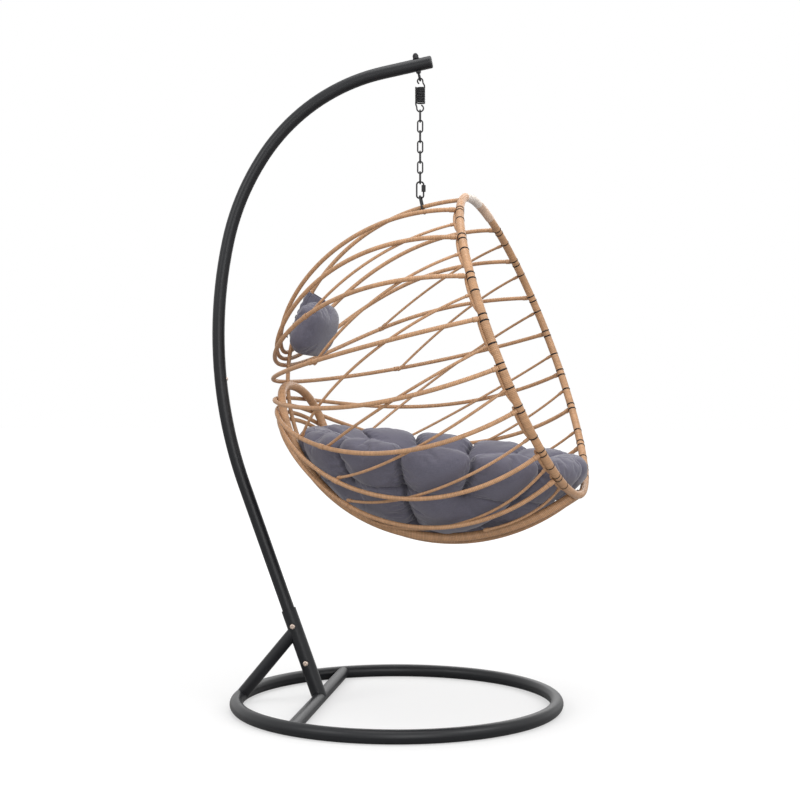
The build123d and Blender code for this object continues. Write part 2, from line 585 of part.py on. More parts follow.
for name, around in (("crown_rod", 0), ("keel_rod", 180)):
    with BuildPart() as spine_rod:
        sweep_rod(shell_route([(ARCH_TOP, 0), rim_angle(around)], CROWN_OFFSET, -2), HOOP_ROD)
        add(arch_core.part, mode=Mode.SUBTRACT)
        add(rim_core.part, mode=Mode.SUBTRACT)
    spine_rod.part = Part(spine_rod.solids().sort_by(SortBy.VOLUME)[-1].wrapped)
    spine_rod.part.label = name
    export_step(spine_rod.part, f"parts/{name}.step")

for number, (around, pull, reach, behind) in enumerate(HOOPS, 1):
    half = shell_route([rim_angle(around), pull, (behind, reach), (behind, 0)], HOOP_OFFSET)
    with BuildPart() as hoop:
        sweep_rod(half + mirrored(half)[-2::-1], HOOP_ROD)
        add(rim_core.part, mode=Mode.SUBTRACT)
    hoop.part.label = f"hoop_{number}"
    export_step(hoop.part, f"parts/hoop_{number}.step")

for number, (around, pull, end) in enumerate(SLIM_RODS, 1):
    points = shell_route([rim_angle(around), pull, end], SLIM_OFFSET)
    with BuildPart() as slim_rods:
        sweep_rod(points, SLIM_ROD)
        sweep_rod(mirrored(points), SLIM_ROD)
        add(rim_core.part, mode=Mode.SUBTRACT)
    slim_rods.part.label = f"slim_rods_{number}"
    export_step(slim_rods.part, f"parts/slim_rods_{number}.step")

# ---------------------------------------------------------------- staple, plate and nuts

STAPLE_NORMAL = BASKET.from_local_coords(STAPLE_REACH) - BASKET.from_local_coords(STAPLE_SEAT)
STAPLE_BASE = Plane(origin=BASKET.from_local_coords(STAPLE_SEAT), x_dir=SIDE,
                    z_dir=STAPLE_NORMAL)
STAPLE_HALF_WIDTH = (HOOP_ROD + STAPLE_WIRE) / 2 + REST_GAP
PLATE_TOP = -HOOP_ROD / 2 - REST_GAP

with BuildPart() as staple:
    with BuildLine(Plane(origin=STAPLE_BASE.origin, x_dir=SIDE, z_dir=SIDE.cross(STAPLE_NORMAL))):
        FilletPolyline((-STAPLE_HALF_WIDTH, -STAPLE_TAIL), (-STAPLE_HALF_WIDTH, STAPLE_RISE),
                       (STAPLE_HALF_WIDTH, STAPLE_RISE), (STAPLE_HALF_WIDTH, -STAPLE_TAIL),
                       radius=0.99 * STAPLE_HALF_WIDTH)
    with BuildSketch(STAPLE_BASE.offset(-STAPLE_TAIL)):
        with Locations((-STAPLE_HALF_WIDTH, 0)):
            Circle(STAPLE_WIRE / 2)
    sweep()
staple.part.label = "hanger_staple"
export_step(staple.part, "parts/hanger_staple.step")

with BuildPart() as hanger_plate:
    with BuildSketch(STAPLE_BASE.offset(PLATE_TOP)):
        RectangleRounded(PLATE[0], PLATE[1], PLATE[1] / 4)
        with GridLocations(2 * STAPLE_HALF_WIDTH, 0, 2, 1):
            Circle(STAPLE_WIRE / 2 + BOLT_GAP, mode=Mode.SUBTRACT)
    extrude(amount=-PLATE[2])
hanger_plate.part.label = "hanger_plate"
export_step(hanger_plate.part, "parts/hanger_plate.step")

with BuildPart() as hanger_nuts:
    with BuildSketch(STAPLE_BASE.offset(PLATE_TOP - PLATE[2])):
        with GridLocations(2 * STAPLE_HALF_WIDTH, 0, 2, 1):
            RegularPolygon(STAPLE_NUT[0] / 2, 6, major_radius=False)
            Circle(STAPLE_WIRE / 2 + SLIDE_GAP / 2, mode=Mode.SUBTRACT)
    extrude(amount=-STAPLE_NUT[1])
hanger_nuts.part.label = "hanger_nuts"
export_step(hanger_nuts.part, "parts/hanger_nuts.step")

# ---------------------------------------------------------------- soft parts

front, back = Vector(*CUSHION_FRONT_HEIGHT), Vector(*CUSHION_BACK_HEIGHT)
dish_middle = (front + back) / 2
dish_rear = (back - front).normalized()


def dish_point(row, around, inset):
    """Point on the ellipsoid moved in by the inset, seen from the dish's middle."""
    way = dish_rear * (sine(row) * cosine(around)) + Vector(0, 0, sine(row) * sine(around))
    way += Vector(dish_rear.Y, -dish_rear.X) * cosine(row)
    start = dish_middle - Vector(MOUTH_SETBACK, 0)
    size = (SHELL_DEPTH - inset, SHELL_RADIUS - inset, SHELL_RADIUS - inset)
    start = [value / half for value, half in zip(start, size)]
    step = [value / half for value, half in zip(way, size)]
    squares = sum(value * value for value in step)
    middle = sum(a * b for a, b in zip(start, step)) / squares
    reach = -middle + math.sqrt(middle ** 2 - (sum(a * a for a in start) - 1) / squares)
    return BASKET.from_local_coords(dish_middle + way * reach)


def crease_plane(start, end, side):
    """Plane across a crease that runs from start to end and opens to the inside or outside."""
    course = (end - start).normalized()
    out = (start - BASKET.from_local_coords(dish_middle)) * side
    return Plane(origin=start - course * CREASE_OVERRUN, x_dir=out.cross(course), z_dir=course)


with BuildPart() as seat_cushion:
    with BuildSketch(BASKET):
        with Locations((MOUTH_SETBACK, 0)):
            Ellipse(SHELL_DEPTH - CUSHION_GAP, SHELL_RADIUS - CUSHION_GAP)
            Ellipse(SHELL_DEPTH - CUSHION_GAP - CUSHION_THICKNESS,
                    SHELL_RADIUS - CUSHION_GAP - CUSHION_THICKNESS, mode=Mode.SUBTRACT)
            Rectangle(2 * SHELL_DEPTH, SHELL_RADIUS, align=(Align.CENTER, Align.MAX),
                      mode=Mode.INTERSECT)
    revolve(axis=Axis(MOUTH_CENTRE, BACK))
    with BuildSketch(BASKET):
        Polygon(front, front + (back - front) * 2, Vector(2 * back.X, 2 * SHELL_DEPTH),
                Vector(-SHELL_DEPTH, 2 * SHELL_DEPTH), Vector(-SHELL_DEPTH, -SHELL_DEPTH),
                Vector(front.X, -SHELL_DEPTH), align=None)
    extrude(amount=SHELL_RADIUS, both=True, mode=Mode.SUBTRACT)
    fillet(seat_cushion.edges(), CUSHION_EDGE)
    turn = 360 / CUSHION_SEGMENTS
    tufts = [CUSHION_TURN + turn * k for k in range(CUSHION_SEGMENTS)]
    for side, inset in ((1, CUSHION_GAP + CREASE_DEPTH[0]),
                        (-1, CUSHION_GAP + CUSHION_THICKNESS - CREASE_DEPTH[1])):
        high = [dish_point(CUSHION_ROWS[0], around, inset) for around in tufts]
        low = [dish_point(CUSHION_ROWS[1], around, inset) for around in tufts]
        brim = [dish_point(90, around, inset) for around in tufts]
        for starts, ends, extra in ((high, brim, CUSHION_THICKNESS),
                                    (high, high[1:] + high[:1], CREASE_OVERRUN),
                                    (low[1::2], high[1::2], CREASE_OVERRUN),
                                    (low[1::2], low[3::2] + low[1:2], CREASE_OVERRUN)):
            length = max((b - a).length for a, b in zip(starts, ends))
            with BuildSketch(*[crease_plane(a, b, side) for a, b in zip(starts, ends)]):
                Polygon((0, 0), (CREASE_SLOPE * CREASE_HEIGHT, CREASE_HEIGHT),
                        (-CREASE_SLOPE * CREASE_HEIGHT, CREASE_HEIGHT), align=None)
            extrude(amount=length + extra + CREASE_OVERRUN, mode=Mode.SUBTRACT)
seat_cushion.part.label = "seat_cushion"
export_step(seat_cushion.part, "parts/seat_cushion.step")


def spine_plane(station, offset, facing="out"):
    """Plane on the spine at a station, facing out of the basket or along the spine."""
    normal = BASKET.from_local_coords(spine_normal(station)) - MOUTH_CENTRE
    origin = BASKET.from_local_coords(shell_point(station, 0, offset))
    return Plane(origin=origin, x_dir=SIDE, z_dir=normal if facing == "out" else SIDE.cross(normal))


with BuildPart() as headrest_pillow:
    with BuildSketch(spine_plane(PILLOW_STATION, -PILLOW_SETBACK - PILLOW_SIZE[2] / 2)):
        RectangleRounded(PILLOW_SIZE[0], PILLOW_SIZE[1], PILLOW_ROUNDING)
    extrude(amount=PILLOW_SIZE[2])
    faces_out = headrest_pillow.faces().filter_by(GeomType.PLANE).sort_by(SortBy.AREA)[-2:]
    fillet(faces_out.edges(), PILLOW_ROUNDING * 0.95)
headrest_pillow.part.label = "headrest_pillow"
export_step(headrest_pillow.part, "parts/headrest_pillow.step")

flap_start, flap_end = (spine_plane(station, CROWN_OFFSET, "along") for station in FLAP_STATIONS)
FLAP_SHIFT = FLAP_SECTION[1] / 2 - FLAP_THICKNESS - HOOP_ROD / 2 - STRAP_GAP
with BuildPart() as headrest_flap:
    run = flap_end.origin - flap_start.origin
    with BuildSketch(Plane(origin=flap_start.origin, x_dir=SIDE, z_dir=run)):
        with Locations((0, FLAP_SHIFT)):
            Ellipse(FLAP_SECTION[0] / 2, FLAP_SECTION[1] / 2)
            Ellipse(FLAP_SECTION[0] / 2 - FLAP_THICKNESS, FLAP_SECTION[1] / 2 - FLAP_THICKNESS,
                    mode=Mode.SUBTRACT)
    extrude(amount=run.length)
headrest_flap.part.label = "headrest_flap"
export_step(headrest_flap.part, "parts/headrest_flap.step")

with BuildPart() as headrest_ties:
    for station in TIE_STATIONS:
        with BuildSketch(spine_plane(station, CROWN_OFFSET, "along").offset(-TIE_SECTION[0] / 2)):
            Circle(HOOP_ROD / 2 + STRAP_GAP + TIE_SECTION[1])
            Circle(HOOP_ROD / 2 + STRAP_GAP, mode=Mode.SUBTRACT)
        extrude(amount=TIE_SECTION[0])
headrest_ties.part.label = "headrest_ties"
export_step(headrest_ties.part, "parts/headrest_ties.step")
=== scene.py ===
"""Hanging egg chair: finishes, wound cane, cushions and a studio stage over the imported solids."""

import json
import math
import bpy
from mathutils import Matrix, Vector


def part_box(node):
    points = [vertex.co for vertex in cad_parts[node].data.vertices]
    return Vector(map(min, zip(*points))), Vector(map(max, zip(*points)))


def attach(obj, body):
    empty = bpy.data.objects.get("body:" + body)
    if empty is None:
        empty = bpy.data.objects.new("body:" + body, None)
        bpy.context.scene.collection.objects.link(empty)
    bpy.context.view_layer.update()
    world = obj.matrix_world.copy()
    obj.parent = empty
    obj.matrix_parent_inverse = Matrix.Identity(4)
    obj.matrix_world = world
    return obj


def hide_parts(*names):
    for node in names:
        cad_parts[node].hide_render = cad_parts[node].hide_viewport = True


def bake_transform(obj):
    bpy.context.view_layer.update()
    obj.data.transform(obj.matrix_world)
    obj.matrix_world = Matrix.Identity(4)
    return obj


bl_info = {
    "name": "Hanging Egg Chair",
    "version": (1, 0, 0),
    "blender": (4, 5, 0),
    "location": "3D View > Sidebar > Egg Chair",
    "description": "Dresses the solids of a hanging egg chair in cane, paint and fabric",
    "category": "Object",
}

import bmesh
import bpy
import numpy as np
from mathutils import Vector, noise
from mathutils.bvhtree import BVHTree

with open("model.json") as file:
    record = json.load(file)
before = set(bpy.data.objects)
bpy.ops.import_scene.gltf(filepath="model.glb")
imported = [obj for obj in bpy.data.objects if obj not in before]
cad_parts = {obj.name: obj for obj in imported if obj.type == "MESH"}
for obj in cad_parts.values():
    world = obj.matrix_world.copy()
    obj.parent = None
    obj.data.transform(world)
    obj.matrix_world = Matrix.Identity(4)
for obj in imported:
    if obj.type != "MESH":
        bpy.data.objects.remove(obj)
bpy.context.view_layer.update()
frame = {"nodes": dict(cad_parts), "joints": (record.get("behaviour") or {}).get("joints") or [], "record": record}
JOINTS = {joint["name"]: joint for joint in frame["joints"]}

# Rods in degrees round the shell, as the solids have them.
# A hoop: its place on the rim, what pulls its curve, and half the width and the height behind
HOOPS = (
    (33.0, (82.0, 41.0), 22.0, 28.5),
    (50.5, (63.0, 47.0), 33.0, 26.3),
    (67.5, (48.0, 60.0), 40.0, 24.1),
    (82.8, (15.0, 76.0), 43.0, 18.5),
    (99.7, (-9.0, 68.0), 39.0, 13.0),
    (115.0, (-32.0, 62.0), 36.0, 10.5),
    (133.7, (-52.0, 46.0), 41.0, 8.0),
    (148.4, (-54.0, 22.0), 45.0, 5.5),
)
# A slim rod: its place on the rim, what pulls its curve, and its end
SLIM_RODS = (
    (40.0, (61.0, 72.0), (36.0, 49.0)),
    (56.3, (37.0, 82.0), (16.0, 57.0)),
    (73.2, (10.0, 81.0), (-6.0, 39.5)),
    (91.7, (-11.0, 86.0), (-14.0, 49.0)),
    (107.1, (-37.0, 77.0), (-25.0, 43.0)),
    (126.6, (-54.0, 62.0), (-33.0, 34.0)),
    (141.5, (-86.0, 46.0), (-44.0, 26.0)),
    (155.7, (-104.0, 29.0), (-80.0, 31.0)),
)
# The back arch: height and half width of its top, what pulls its legs, and their place on the rim
ARCH_TOP = (17.0, 19.0)
ARCH_KNEE = (-56.0, 23.0)
ARCH_RIM = 170.0


# ---- Sizes and colours


def metres(name, description, default):
    """A length that the panel shows."""
    return bpy.props.FloatProperty(name=name, description=description, default=default,
                                   unit="LENGTH")


def tint(name, description, *default):
    """A colour that the panel shows."""
    return bpy.props.FloatVectorProperty(name=name, description=description,
                                         default=(*default, 1), subtype="COLOR", size=4)


class BasketSizes(bpy.types.PropertyGroup):
    """Sizes of the wound rods and of the shell that they follow."""

    shell_radius: metres("Shell radius", "Half the shell's width", 0.512)
    shell_depth: metres("Shell depth", "From the shell's middle to its back", 0.545)
    mouth_setback: metres("Mouth setback", "From the rim's plane to the shell's middle", 0.225)
    tilt: bpy.props.FloatProperty(
        name="Tilt", description="Lean of the rim's plane from vertical",
        default=math.radians(20.3), subtype="ANGLE")
    hoop_rod: metres("Hoop rod", "Thickness of a thick hoop", 0.013)
    slim_rod: metres("Slim rod", "Thickness of a slim rod", 0.0085)
    rim_tube: metres("Rim tube", "Thickness of the mouth rim", 0.024)
    arch_tube: metres("Arch tube", "Thickness of the back arch", 0.026)
    hoop_offset: metres("Hoop offset", "Thick hoops outside the shell", 0.0042)
    gap: metres("Gap", "Between rods that cross", 0.0003)
    lay: metres("Lay", "Width of one winding of cane", 0.0046)
    groove: metres("Groove", "Depth of the groove between windings", 0.0003)


class CushionSizes(bpy.types.PropertyGroup):
    """Sizes of the seat cushion."""

    gap: metres("Gap", "Between the shell and the cushion", 0.033)
    thickness: metres("Thickness", "Seat cushion before it swells", 0.100)
    segments: bpy.props.IntProperty(
        name="Segments", description="Padded segments round the seat cushion", default=12)
    turn: bpy.props.FloatProperty(
        name="Turn", description="Of the first crease from the dish's rear, in degrees",
        default=2.5)
    round_over: metres("Round over", "From a crease to the flat of a segment", 0.052)
    outer_crease: metres("Outer crease", "Depth of a crease against the rods", 0.026)
    inner_crease: metres("Inner crease", "Depth of a crease on the seat side", 0.036)


class Colours(bpy.types.PropertyGroup):
    """Colours of the finishes."""

    paint: tint("Paint", "Powder coat of the stand", 0.0085, 0.009, 0.0105)
    hardware: tint("Hardware", "Blackened chain and spring", 0.010, 0.010, 0.0115)
    zinc: tint("Zinc", "Plated bolts", 0.50, 0.41, 0.35)
    cane: tint("Cane", "Synthetic cane in the light", 0.500, 0.283, 0.148)
    cane_dark: tint("Dark cane", "Darker windings and grooves", 0.19, 0.085, 0.040)
    fabric: tint("Fabric", "Cushion cover", 0.122, 0.117, 0.152)
    floor: tint("Floor", "Studio floor", 0.46, 0.46, 0.46)


# ---- Shader maths


def operators(operation):
    """A Python operator that adds a Math node, and its reflected form."""
    return (lambda self, other: self._math(operation, self, other),
            lambda self, other: self._math(operation, other, self))


class Signal:
    """A shader socket that takes part in Python expressions."""

    def __init__(self, graph, socket):
        self.graph = graph
        self.socket = socket

    def _math(self, operation, *values):
        return self.graph.node("ShaderNodeMath", {"operation": operation},
                               **{str(i): value for i, value in enumerate(values)})

    __add__, __radd__ = operators("ADD")
    __sub__, __rsub__ = operators("SUBTRACT")
    __mul__, __rmul__ = operators("MULTIPLY")
    __mod__ = operators("FLOORED_MODULO")[0]

    def __abs__(self):
        return self._math("ABSOLUTE", self)

    def floor(self):
        return self._math("FLOOR", self)

    def either(self, other):
        return self._math("MAXIMUM", self, other)

    def ramp(self, low, high):
        """0 below low, 1 above high and smooth between."""
        return self.graph.node("ShaderNodeMapRange", {"interpolation_type": "SMOOTHSTEP"},
                               Value=self, **{"From Min": low, "From Max": high})


class Graph:
    """The nodes of a material or a world."""

    def __init__(self, owner):
        owner.use_nodes = True
        self.nodes = owner.node_tree.nodes
        self.links = owner.node_tree.links

    def feed(self, node, values):
        """Set or link a node's sockets, each by its name or number."""
        for key, value in values.items():
            socket = node.inputs[int(key) if key.isdigit() else key]
            if isinstance(value, Signal):
                self.links.new(value.socket, socket)
            else:
                socket.default_value = value

    def node(self, kind, settings=None, output=0, **values):
        """Any node: its settings first, then its sockets' values or links."""
        made = self.nodes.new(kind)
        for key, value in (settings or {}).items():
            setattr(made, key, value)
        self.feed(made, values)
        return Signal(self, made.outputs[output])


class Finish(Graph):
    """A node material with one Principled shader."""

    def __init__(self, name, **constants):
        self.material = bpy.data.materials.new(name)
        super().__init__(self.material)
        self.shader = self.nodes["Principled BSDF"]
        self.feed(self.shader, constants)

    def place(self):
        """Object coordinates, in metres."""
        return self.node("ShaderNodeTexCoord", output="Object")

    def attribute(self, name):
        """A number that the piece keeps at each vertex."""
        return self.node("ShaderNodeAttribute", {"attribute_name": name}, output="Fac")

    def noise(self, scale, detail=3.0, roughness=0.5, stretch=None):
        vector = self.place()
        if stretch:
            vector = self.node("ShaderNodeMapping", Vector=vector, Scale=stretch)
        return self.node("ShaderNodeTexNoise", Vector=vector, Scale=scale, Detail=detail,
                         Roughness=roughness)

    def mix(self, factor, first, second):
        """The first colour at 0, the second at 1."""
        return self.node("ShaderNodeMix", {"data_type": "RGBA"}, output=2,
                         **{"0": factor, "6": first, "7": second})

    def bump(self, height, strength, distance):
        normal = self.node("ShaderNodeBump", Height=height, Strength=strength, Distance=distance)
        self.feed(self.shader, {"Normal": normal})

    def surface(self, **values):
        """Feed the Principled shader and hand back the material."""
        self.feed(self.shader, {key.replace("_", " "): value for key, value in values.items()})
        return self.material


def shade(colour, factor):
    """The colour, lighter or darker."""
    return tuple(min(1.0, c * factor) for c in colour[:3]) + (1,)


def powder_coat(colour):
    finish = Finish("stand_powder_coat", **{"Coat Weight": 0.05, "Coat Roughness": 0.28,
                                            "Specular IOR Level": 0.30})
    speckle = finish.noise(900, 2)
    cloud = finish.noise(7, 3)
    dimples = finish.noise(230, 2)
    finish.bump(speckle + 0.4 * dimples, 0.22, 0.0004)
    return finish.surface(Base_Color=finish.mix(cloud, colour, shade(colour, 1.45)),
                          Roughness=0.30 + 0.12 * cloud + 0.05 * speckle)


def black_steel(colour):
    finish = Finish("blackened_steel", Metallic=0.35)
    cloud = finish.noise(60, 4)
    fine = finish.noise(1500, 2)
    finish.bump(fine, 0.25, 0.0002)
    return finish.surface(Base_Color=finish.mix(cloud.ramp(0.52, 0.75), colour, shade(colour, 2.4)),
                          Roughness=0.36 + 0.2 * cloud)


def plated_steel(colour):
    finish = Finish("plated_steel", Metallic=1.0)
    cloud = finish.noise(140, 4)
    brushed = finish.noise(500, 2, stretch=(1, 8, 1))
    finish.bump(brushed, 0.12, 0.0002)
    return finish.surface(Base_Color=finish.mix(cloud, colour, shade(colour, 1.5)),
                          Roughness=0.24 + 0.22 * brushed)


def grained(name, colour, size, light, roughness, bump, **constants):
    """A dull finish whose bump, colour and roughness follow one grain."""
    finish = Finish(name, **constants)
    scale, detail, stretch = size
    grain = finish.noise(scale, detail, stretch=stretch)
    finish.bump(grain, *bump)
    return finish.surface(Base_Color=finish.mix(grain, colour, shade(colour, light)),
                          Roughness=roughness[0] + roughness[1] * grain)


def wound_cane(name, light, dark):
    """Flat synthetic cane wound round a rod; the piece's lay attribute counts the windings."""
    finish = Finish(name, **{"Coat Weight": 0.08, "Coat Roughness": 0.30,
                             "Specular IOR Level": 0.40})
    lay = finish.attribute("lay")
    edge = abs(lay % 1.0 - 0.5)
    groove = edge.ramp(0.30, 0.5)
    tone = finish.node("ShaderNodeTexWhiteNoise", {"noise_dimensions": "1D"}, W=lay.floor())
    fibre = finish.node("ShaderNodeTexNoise", {"noise_dimensions": "1D"}, W=lay, Scale=7.0,
                        Detail=1.0)
    patch = finish.noise(9, 2)
    fleck = finish.noise(300, 2)
    wear = (0.30 * tone + 0.20 * fibre + 0.50 * patch).ramp(0.28, 0.72)
    colour = finish.mix(wear, shade(light, 0.86), shade(light, 1.10))
    colour = finish.mix(fleck.ramp(0.64, 0.80) * 0.22, colour, dark)
    # painted shade in the groove between windings
    colour = finish.mix(groove * 0.62, colour, dark)
    finish.bump((1 - groove) + 0.10 * fibre, 0.24, 0.0005)
    return finish.surface(Base_Color=colour, Roughness=0.36 + 0.12 * fibre + 0.14 * groove)


def woven_fabric(colour):
    finish = Finish("slate_weave", **{"Sheen Weight": 0.28, "Sheen Roughness": 0.45,
                                      "Specular IOR Level": 0.22})
    warp = finish.noise(520, 2, stretch=(1.0, 1.0, 0.12))
    weft = finish.noise(520, 2, stretch=(0.12, 1.0, 1.0))
    pile = finish.noise(1900, 2)
    cloud = finish.noise(9, 4, 0.6)
    melange = (0.45 * warp + 0.45 * weft + 0.10 * pile).ramp(0.34, 0.66)
    tone = finish.mix(melange, shade(colour, 0.88), shade(colour, 1.12))
    tone = finish.mix(cloud.ramp(0.30, 0.75) * 0.30, tone, shade(colour, 1.25))
    # painted shade: the fabric darkens where the fold attribute marks the creases and tufts
    tone = finish.mix(finish.attribute("fold") * 0.75, tone, shade(colour, 0.22))
    # painted highlight: the piping cords, marked by the seam attribute, are lightened to stand for the light along
    # each crest
    tone = finish.mix(finish.attribute("seam") * 0.5, tone, shade(colour, 2.0))
    finish.bump(warp + weft + 0.5 * pile, 0.22, 0.0006)
    return finish.surface(Base_Color=tone, Roughness=0.78 + 0.14 * melange)


FINISHES = {}


def finish_of(slot):
    """The finish for one of the record's material slots, made once."""
    colours = bpy.context.scene.chair_colours
    paint, hardware, zinc, cane, dark, fabric = (
        tuple(getattr(colours, name))
        for name in ("paint", "hardware", "zinc", "cane", "cane_dark", "fabric"))
    makers = {
        "stand_paint": lambda: powder_coat(paint),
        "plated_steel": lambda: plated_steel(zinc),
        "cap_plastic": lambda: grained("moulded_plastic", shade(hardware, 0.8), (700, 3, None),
                                       1.3, (0.45, 0.15), (0.2, 0.0003)),
        "black_hardware": lambda: black_steel(hardware),
        "wrapped_cane": lambda: wound_cane("wound_cane", cane, dark),
        "slate_fabric": lambda: woven_fabric(fabric),
        "black_tape": lambda: grained("tape_weave", hardware, (800, 2, (1, 1, 0.2)), 1.8,
                                      (0.7, 0.2), (0.4, 0.0005),
                                      **{"Specular IOR Level": 0.25}),
    }
    if slot not in FINISHES:
        FINISHES[slot] = makers[slot]()
    return FINISHES[slot]


def dress_nodes(names):
    """Give solids that keep their shape the finish of their slot."""
    slots = {entry["node"]: entry["material_slot"] for entry in frame["record"]["subparts"]}
    for name in names:
        data = frame["nodes"][name].data
        data.materials.clear()
        data.materials.append(finish_of(slots[name]))


def placed(name, data, place=(0, 0, 0)):
    """A new object in the scene."""
    thing = bpy.data.objects.new(name, data)
    thing.location = place
    bpy.context.scene.collection.objects.link(thing)
    return thing


def mesh_of(mesh, name):
    """A mesh data block from a bmesh, which is freed."""
    data = bpy.data.meshes.new(name)
    mesh.to_mesh(data)
    mesh.free()
    return data


def add_piece(name, mesh, replaces=(), slot="wrapped_cane", body="basket", smooth=True,
              material=None):
    """Turn a bmesh into a piece that rides on a body and stands for solids."""
    data = mesh_of(mesh, name)
    if smooth:
        data.shade_smooth()
    data.materials.append(material or finish_of(slot))
    piece = placed(name, data)
    if body:
        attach(piece, body)
    if replaces:
        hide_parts(*replaces)
    return piece


# ---- The basket's shell


class Shell:
    """The ellipsoid that the rods follow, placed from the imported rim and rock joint."""

    def __init__(self):
        sizes = bpy.context.scene.chair_basket
        low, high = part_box("mouth_rim")
        self.mouth = (low + high) / 2
        self.side = Vector(JOINTS["rock"]["axis"]).normalized()
        forward = self.side.cross(Vector((0, 0, 1)))
        self.back = -(forward * math.cos(sizes.tilt) + Vector((0, 0, math.sin(sizes.tilt))))
        self.up = self.side.cross(self.back)
        self.sizes = sizes
        self.rim_polar = math.degrees(math.acos(-sizes.mouth_setback / sizes.shell_depth))
        self.rim_radius = sizes.shell_radius * math.sin(math.radians(self.rim_polar))

    def place(self, along, up, side):
        """A point from distances behind the mouth's middle, up and to the side."""
        return self.mouth + self.back * along + self.up * up + self.side * side

    def point(self, x, y, offset):
        """Point and outward direction at polar angles x and y, in degrees from the back."""
        polar = math.radians(math.hypot(x, y))
        around = math.atan2(y, x)
        depth = self.sizes.shell_depth + offset
        radius = self.sizes.shell_radius + offset
        ring = Vector((0, math.cos(around), math.sin(around)))
        along = self.sizes.mouth_setback + depth * math.cos(polar)
        aside = radius * math.sin(polar)
        out = Vector((math.cos(polar) / depth, 0, 0)) + ring * (math.sin(polar) / radius)
        out.normalize()
        centre = self.place(along, aside * ring.y, aside * ring.z)
        return centre, self.back * out.x + self.up * out.y + self.side * out.z

    def rim_angle(self, around):
        """The rim's polar angles at an angle from its top."""
        around = math.radians(around)
        return self.rim_polar * math.cos(around), self.rim_polar * math.sin(around)

    def rim_point(self, around):
        """Middle of the rim tube at an angle from the top, and the direction out of the ring."""
        around = math.radians(around)
        out = self.up * math.cos(around) + self.side * math.sin(around)
        return self.mouth + out * self.rim_radius, out


def bezier(points, share):
    """Point on a Bezier curve of any order, by repeated blending."""
    while len(points) > 1:
        points = [tuple(a + (b - a) * share for a, b in zip(p, q))
                  for p, q in zip(points, points[1:])]
    return points[0]


def shell_line(shell, curves, offset, end_offset=None, steps=240):
    """Points and outward directions under Bezier curves of polar angles, one after another.

    The last curve eases from the offset to the end offset.
    """
    line = []
    ease = 0 if end_offset is None else end_offset - offset
    for number, controls in enumerate(curves):
        last = number == len(curves) - 1
        for k in range(1 if number else 0, steps + 1):
            share = k / steps
            lift = offset + (ease * share ** 6 if last else 0)
            line.append(shell.point(*bezier(controls, share), lift))
    return line


RINGS_PER_TURN = 3
LEAN = math.tan(math.radians(9))  # of a winding, from square to the rod
MERGE = 1e-6


def wound_tube(line, radius, lay, groove, sides, closed=False, start=0.0):
    """A tube along the line with one shallow groove between windings of cane.

    A grid is rolled up along the line, and each vertex keeps its place in the windings.
    """
    spots = np.array([p for p, _ in line])
    outs = np.array([n for _, n in line])
    lengths = np.concatenate([[0], np.cumsum(np.linalg.norm(np.diff(spots, axis=0), axis=1))])
    turns = max(2, round(lengths[-1] / lay))
    rings = RINGS_PER_TURN * turns
    stations = np.linspace(0, lengths[-1], rings + 1)
    centres = np.stack([np.interp(stations, lengths, spots[:, k]) for k in range(3)], 1)
    outward = np.stack([np.interp(stations, lengths, outs[:, k]) for k in range(3)], 1)
    tangents = np.gradient(centres, axis=0)
    if closed:
        tangents[0] = tangents[-1] = centres[1] - centres[-2]
    tangents /= np.linalg.norm(tangents, axis=1)[:, None]
    outward -= tangents * np.sum(outward * tangents, axis=1)[:, None]
    outward /= np.linalg.norm(outward, axis=1)[:, None]
    sideways = np.cross(tangents, outward)
    mesh = bmesh.new()
    layer = mesh.verts.layers.float.new("lay")
    bmesh.ops.create_grid(mesh, x_segments=rings, y_segments=sides, size=0.5)
    for vert in mesh.verts:
        ring = round((vert.co.x + 0.5) * rings)
        angle = 2 * math.pi * (vert.co.y + 0.5)
        reach = radius - (groove if ring % RINGS_PER_TURN == 0 else 0)
        tip = reach * math.cos(angle)
        slope = 0 if not closed and ring in (0, rings) else LEAN * tip
        vert.co = Vector(centres[ring] + outward[ring] * tip
                         + sideways[ring] * reach * math.sin(angle) + tangents[ring] * slope)
        vert[layer] = start + ring / RINGS_PER_TURN
    bmesh.ops.remove_doubles(mesh, verts=mesh.verts, dist=MERGE)
    if not closed:
        ends = [edge for edge in mesh.edges if edge.is_boundary]
        bmesh.ops.holes_fill(mesh, edges=ends, sides=0)
    bmesh.ops.recalc_face_normals(mesh, faces=mesh.faces)
    return mesh


def append(whole, mesh):
    """Add a bmesh to another, through a mesh data block."""
    data = mesh_of(mesh, "part")
    whole.from_mesh(data)
    bpy.data.meshes.remove(data)


def joined(meshes):
    """Several bmeshes as one."""
    whole = bmesh.new()
    whole.verts.layers.float.new("lay")
    for mesh in meshes:
        append(whole, mesh)
    return whole


def mirrored(line, shell):
    """The same line on the other side of the basket."""
    def flip(vector):
        return vector - shell.side * (2 * vector.dot(shell.side))

    return [(shell.mouth + flip(p - shell.mouth), flip(n)) for p, n in line]


# ---- Wound rods


def clear_of_rim(line, shell):
    """The line without what would lie inside the rim's tube."""
    overlap = 0.001
    inner = shell.sizes.rim_tube / 2 - overlap

    def distance(point):
        rest = point - shell.mouth
        along = rest.dot(shell.back)
        flat = (rest - shell.back * along).length
        return math.hypot(along, flat - shell.rim_radius)

    return [(p, n) for p, n in line if distance(p) > inner]


def rod_offsets(sizes):
    """Offsets from the shell of the crown, the slim rods and the arch."""
    crown = sizes.hoop_offset - sizes.hoop_rod - sizes.gap
    slim = sizes.hoop_offset - (sizes.hoop_rod + sizes.slim_rod) / 2 - sizes.gap
    arch = sizes.hoop_offset - (sizes.hoop_rod + sizes.arch_tube) / 2 - sizes.gap
    return crown, slim, arch


